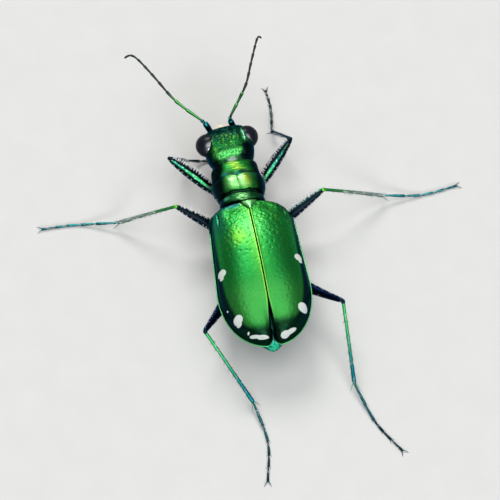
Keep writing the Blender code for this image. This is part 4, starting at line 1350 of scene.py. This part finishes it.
def build_mouth():
    """The lip plate and, below it, the jaws, the cheeks' palps and the lower lip with its palps."""
    build_lip()
    jaw, palp = jaw_finish(), palp_finish()
    for side, sign in SIDES:
        build_jaw(side, sign, jaw)
        parts = palp_segments(mouth_path(MAXILLA, 41, sign), MAXILLA_SEGMENTS, MAXILLA_SWELL)
        stem = mouth_path(STEM, 9, sign)
        parts.append(grown("stem", stem, np.linspace(0.17, 0.05, 9), sides=10, shares=(0.0, 0.5)))
        finished(joined("cheek_palp_" + side, parts), palp, ["maxilla_" + side])

    widths = np.array(CHIN_WIDTHS)
    chin = mouth_path(CHIN, len(CHIN))
    parts = [grown("chin", chin, widths, widths * 0.45, sides=16, shares=(0.0, 0.4))]
    for side, sign in SIDES:
        parts += palp_segments(mouth_path(LABIAL_PALP, 31, sign, 0.02), LABIAL_SEGMENTS, LABIAL_SWELL)
    finished(joined("lower_lip", parts), palp, ["labium"])


def build_feelers():
    """The antennae, each of eleven segments that swell towards their ends."""
    shell = feeler_finish()
    others = [SEGMENT_SWELL] * (len(ANTENNA_SHARES) - 2)
    for side, points in ANTENNA.items():
        path = smooth_rows(points, 161)
        parts, start = [], 0.0
        for share, half, swell in zip(ANTENNA_SHARES, ANTENNA_HALF, [SCAPE_SWELL, *others, TIP_SWELL]):
            own = along(path, np.clip(start + share * np.array(SEGMENT_AT), 0, 1))
            girth, end = half * np.array(swell), start + share
            parts.append(grown("segment", own, girth, sides=12, shares=(start, end)))
            start = end
        finished(joined("feeler_" + side, parts), shell, ["antenna_" + side])


# Legs

def spread_along(start, end, count, first=0.06, last=0.94):
    """Places spread unevenly along a line, as shares of it and as points."""
    share = np.linspace(first, last, count) + RANDOM.uniform(-0.4, 0.4, count) * (last - first) / count
    return share, start + (end - start) * share[:, None]


def thigh_hairs(hip, knee, pair):
    """Rows of bristles: long and thick on the front of the thigh, thin behind it."""
    hairs = []
    ahead = unit(knee - hip)
    forward = unit(np.cross(ahead, UP))
    if forward[1] > 0:
        forward = -forward
    rise = unit(np.cross(ahead, forward))
    if rise[2] < 0:
        rise = -rise
    for facing, tilt, pitch, count, long, half in THIGH_ROWS:
        if pair == "hind":
            count, long, half = int(count * HIND_HAIR[0]), long * HIND_HAIR[1], HIND_HAIR[2]
        share, line = spread_along(hip, knee, count)
        girth = FEMUR_HALF[pair] * np.interp(share, FEMUR_AT, FEMUR_SWELL[pair])
        way = forward * facing
        lean = unit(way + rise * tilt)
        for point, off, t in zip(line, girth, share):
            root = point + lean * off * 0.9 + UP * BOW[pair] * math.sin(math.pi * t)
            own = way + rise * pitch + ahead * RANDOM.uniform(0.0, 0.5) + RANDOM.normal(0, 0.15, 3)
            hairs.append((root, own, long * RANDOM.uniform(0.7, 1.15), half))
    return hairs


def shin_hairs(knee, ankle, pair):
    """Short bristles all round the shin."""
    hairs = []
    shin = unit(ankle - knee)
    level = unit(np.cross(shin, UP))
    over = np.cross(level, shin)
    count, start = SHIN_HAIRS[pair]
    for point in spread_along(knee, ankle, count, start, 0.97)[1]:
        turn = RANDOM.uniform(0, math.tau)
        lean = level * math.cos(turn) + over * math.sin(turn)
        way = lean + shin * RANDOM.uniform(0.7, 1.3)
        hairs.append((point + lean * TIBIA_HALF * 0.8, way, RANDOM.uniform(0.1, 0.2), FINE_HAIR))
    return hairs


def foot_hairs(foot):
    """Short bristles on the top and sides of the foot."""
    hairs = []
    share = RANDOM.uniform(0.05, 0.95, FOOT_HAIRS)
    line = along(foot, share)
    way = unit(along(foot, np.minimum(share + 0.02, 1.0)) - line)
    for point, ahead in zip(line, way):
        turn = RANDOM.uniform(-0.6, math.pi + 0.6)
        lean = np.cross(ahead, UP) * math.cos(turn) + UP * math.sin(turn)
        hairs.append((point + lean * 0.05, lean * 0.8 + ahead, RANDOM.uniform(0.07, 0.13), FINE_HAIR))
    return hairs


def build_hip(name, pair, sign, knee, shell):
    """The hip and the bead between it and the thigh; gives the thigh's start."""
    middle, room = COXA[pair]
    bend = PROTHORAX_X if pair == "front" else 0.0
    coxa = np.array((bend + sign * middle[0], middle[1], middle[2]))
    ahead = unit(knee - coxa)
    hip = coxa + ahead * (1 / np.linalg.norm(ahead / np.array(room)) + HIP_GAP * 0.4)
    if pair == "front":
        hip = hip + np.array(FRONT_HIP_SHIFT)
    inside = coxa + np.array((-0.12 * sign, 0.0, 0.75))
    path = [inside, coxa + UP * 0.34, coxa + ahead * 0.2 + UP * 0.06, hip + ahead * 0.04]
    wide = smooth_rows(np.array(HIP_WIDTHS)[:, None], 11)[:, 0]
    tall = wide * (0.82 if pair == "hind" else 0.95)
    hull = grown("hull", smooth_rows(path, 11), wide, tall, sides=16, levels=2)
    end = hip + ahead * (0.34 if pair == "hind" else 0.22)
    path = smooth_rows([hip - ahead * 0.12, hip + ahead * 0.06, end], len(BEAD_WIDTHS)) - UP * 0.04
    bead = grown("bead", path, np.array(BEAD_WIDTHS), sides=14)
    finished(joined("hip_" + name, [hull, bead]), shell, ["coxa_" + name])
    return hip


def build_shin(name, hip, knee, ankle, shell):
    """The shin with its knee, its rows of spines and its two spurs."""
    way, thigh = unit(ankle - knee), unit(knee - hip)
    across = unit(np.cross(way, UP))
    start = knee + way * 0.03
    parts = [straight("shin", start, ankle, TIBIA_AT, TIBIA_SWELL, TIBIA_HALF, TIBIA_BOW, sides=12)]
    path = np.array([knee - thigh * 0.2, knee - thigh * 0.08, knee, knee + way * 0.1, knee + way * 0.22])
    parts.append(grown("knee", path, np.array(KNEE_SWELL), sides=12, shares=(0.0, 0.02)))
    for turn in (1, -1):
        root = ankle - way * 0.08 + across * turn * 0.07 - UP * 0.05
        parts.append(spike("spur", root, unit(way + across * turn * 0.5), *SPUR))
    for share in SPINE_PLACES:
        for turn in (1, -1):
            root = knee + (ankle - knee) * share + across * turn * 0.09
            lean = unit(across * turn * 0.8 + way * 1.1)
            parts.append(spike("spine", root, lean, *SHIN_SPINE, sides=5))
    finished(joined("shin_" + name, parts), shell, ["tibia_" + name])


def build_foot(name, foot, ball, toe, shell):
    """The five segments of a foot, with spines at their ends, and its two claws."""
    parts, first = [], 0.0
    for share, half in zip(TARSOMERES, TARSUS_HALF):
        own = along(foot, np.clip(first + share * np.array(TARSUS_AT), 0, 1))
        girth = half * np.array(TARSUS_SWELL)
        own[:, 2] = np.maximum(own[:, 2], girth)
        parts.append(grown("tarsomere", own, girth, sides=10, shares=(first, first + share)))
        if share == TARSOMERES[-1]:
            break
        way = unit(own[-1] - own[-3])
        out = unit(np.cross(way, UP))
        for turn in (1, -1):
            root, lean = own[-2] + out * turn * half * 0.7, unit(way + out * turn * 0.7)
            parts.append(spike("spine", root, lean, *FOOT_SPINE, sides=5))
        first += share
    way = unit(toe - ball)
    out = unit(np.cross(way, UP))
    for turn in (1, -1):
        root = toe - way * 0.06 + out * turn * 0.03
        parts.append(spike("claw", root, unit(way + out * turn * 0.55 + UP * 0.25), *CLAW))
    finished(joined("foot_" + name, parts), shell, ["tarsus_" + name])


def build_leg(name, joints, finishes):
    knee, ankle, ball, toe = (np.array(joint) for joint in joints)
    pair, side = name.split("_")
    hip = build_hip(name, pair, 1 if side == "left" else -1, knee, finishes["under"])
    swell, half, bow = FEMUR_SWELL[pair], FEMUR_HALF[pair], BOW[pair]
    thigh = straight("thigh_" + name, hip, knee, FEMUR_AT, swell, half, bow, 1.08, sides=14, levels=2)
    finished(thigh, finishes["thigh_" + pair], ["femur_" + name])
    build_shin(name, hip, knee, ankle, finishes["shin_" + pair])
    foot = smooth_rows([ankle - unit(ankle - knee) * 0.04, ball, toe], 81)
    build_foot(name, foot, ball, toe, finishes["foot_" + pair])
    hairs = thigh_hairs(hip, knee, pair) + shin_hairs(knee, ankle, pair) + foot_hairs(foot)
    finished(bristles("bristles_" + name, hairs), finishes["bristle"])


def prothorax_half(_):
    return 1.22


def breast_half(y):
    return np.interp(y, (-1.8, -1.0, 0.8), (1.45, 1.8, 1.97))


def hip_half(_):
    return RANDOM.uniform(0.85, 1.0)


# Patches of bristles on the body, as their middle line, how far out they lie and their count, then the
# ranges of their y and z, of how far they point back and up, and of their lengths
PATCHES = (
    (PROTHORAX_X, prothorax_half, 46, (-4.2, -2.5), (1.9, 2.9), (-0.6, 0.3), (-0.3, 0.3), (0.12, 0.24)),
    (0.0, breast_half, 60, (-1.8, 0.8), (1.75, 2.4), (-0.2, 0.8), (-0.6, 0.1), (0.12, 0.26)),
    (PROTHORAX_X, hip_half, 36, (-3.85, -3.05), (0.95, 1.4), (-0.5, 0.1), (-0.7, -0.1), (0.12, 0.22)),
)


def build_body_bristles(white):
    """Sparse white bristles on the flanks and hips, and four on each half of the lip."""
    hairs = []
    for _, sign in SIDES:
        for middle, out, count, span, height, back, up, length in PATCHES:
            for _ in range(count):
                y = RANDOM.uniform(*span)
                root = (middle + sign * out(y), y, RANDOM.uniform(*height))
                way = (sign, RANDOM.uniform(*back), RANDOM.uniform(*up))
                hairs.append((root, way, RANDOM.uniform(*length), BODY_HAIR))
        for number in range(4):
            root = (HEAD_X + sign * (0.08 + 0.12 * number), -7.5 + 0.03 * number, 2.42)
            hairs.append((root, (sign * 0.15, -1, -0.25), 0.3, BODY_HAIR))
    finished(bristles("bristles_body", hairs), white)


def build_legs(under):
    finishes = {"under": under, "bristle": bristle_finish()}
    for part, (top, flank, tip, tip_from, more) in LIMB_COLOURS.items():
        finishes[part] = limb_finish(part + "_shell", top, flank, tip, tip_from, **more)
    for name, joints in LEGS.items():
        build_leg(name, joints, finishes)
    build_body_bristles(finishes["bristle"])


# Room, light and camera

TARGET = np.array((0.3, 0.0, 2.5))
AZIMUTH = 170.7
ELEVATION = 62
DISTANCE = 125.0
LENS = 180.0
SENSOR = 36.0
SKY = (0.9, 0.95, 1.0, 1.0)
SKY_STRENGTH = 0.3
LAMP_DISTANCE = 0.5
# Soft lamps, as (name, azimuth, elevation, width, height, watts, colour)
LAMPS = (
    ("key", 8, 48, 0.22, 0.18, 1.3, (1.0, 1.0, 1.0)),
    ("overhead", 185, 80, 0.55, 0.5, 1.6, (1.0, 1.0, 1.0)),
    ("rear", 186, 29, 0.3, 0.12, 1.2, (0.85, 0.93, 1.0)),
)


def aimed(name, data, target, azimuth, elevation, distance):
    """A camera or lamp at this distance in metres from its target, which it faces."""
    thing = bpy.data.objects.new(name, data)
    bpy.context.scene.collection.objects.link(thing)
    a, e = math.radians(azimuth), math.radians(elevation)
    back = Vector((math.sin(a) * math.cos(e), -math.cos(a) * math.cos(e), math.sin(e)))
    thing.location = Vector(target) + back * distance
    thing.rotation_mode = "QUATERNION"
    thing.rotation_quaternion = back.to_track_quat("Z", "Y")
    return thing


def build_camera():
    data = bpy.data.cameras.new("camera")
    data.lens = LENS
    data.sensor_width = SENSOR
    data.clip_start = 0.001
    data.clip_end = 10.0
    camera = aimed("camera", data, placed(TARGET), AZIMUTH, ELEVATION, DISTANCE * MM)
    bpy.context.scene.camera = camera


def build_lamps():
    for name, azimuth, elevation, wide, tall, watts, colour in LAMPS:
        lamp = bpy.data.lights.new(name, "AREA")
        lamp.shape = "RECTANGLE"
        lamp.size, lamp.size_y = wide, tall
        lamp.energy = watts
        lamp.color = colour
        aimed(name, lamp, (0, 0, 0), azimuth, elevation, LAMP_DISTANCE)


def build_room():
    bpy.ops.object.select_all(action="DESELECT")
    bpy.ops.mesh.primitive_plane_add(size=4.0)
    floor = started("floor")
    f = Finish("floor_paper", Roughness=0.8, Specular_IOR_Level=0.2)
    colour = f.mix(f.noise(1.5, 3.0), (0.6, 0.59, 0.565), (0.64, 0.63, 0.605))
    floor.data.materials.append(f.paint(colour))
    world = bpy.data.worlds.new("studio")
    world.use_nodes = True
    sky = world.node_tree.nodes["Background"]
    sky.inputs["Color"].default_value = SKY
    sky.inputs["Strength"].default_value = SKY_STRENGTH
    bpy.context.scene.world = world
    bpy.context.scene.view_settings.view_transform = "Standard"


build_camera()
build_lamps()
build_room()
build_wings()
build_prothorax()
build_scutellum()
dark_shell = under_finish()
build_breast(dark_shell)
build_belly(dark_shell)
build_head()
build_mouth()
build_feelers()
build_legs(dark_shell)
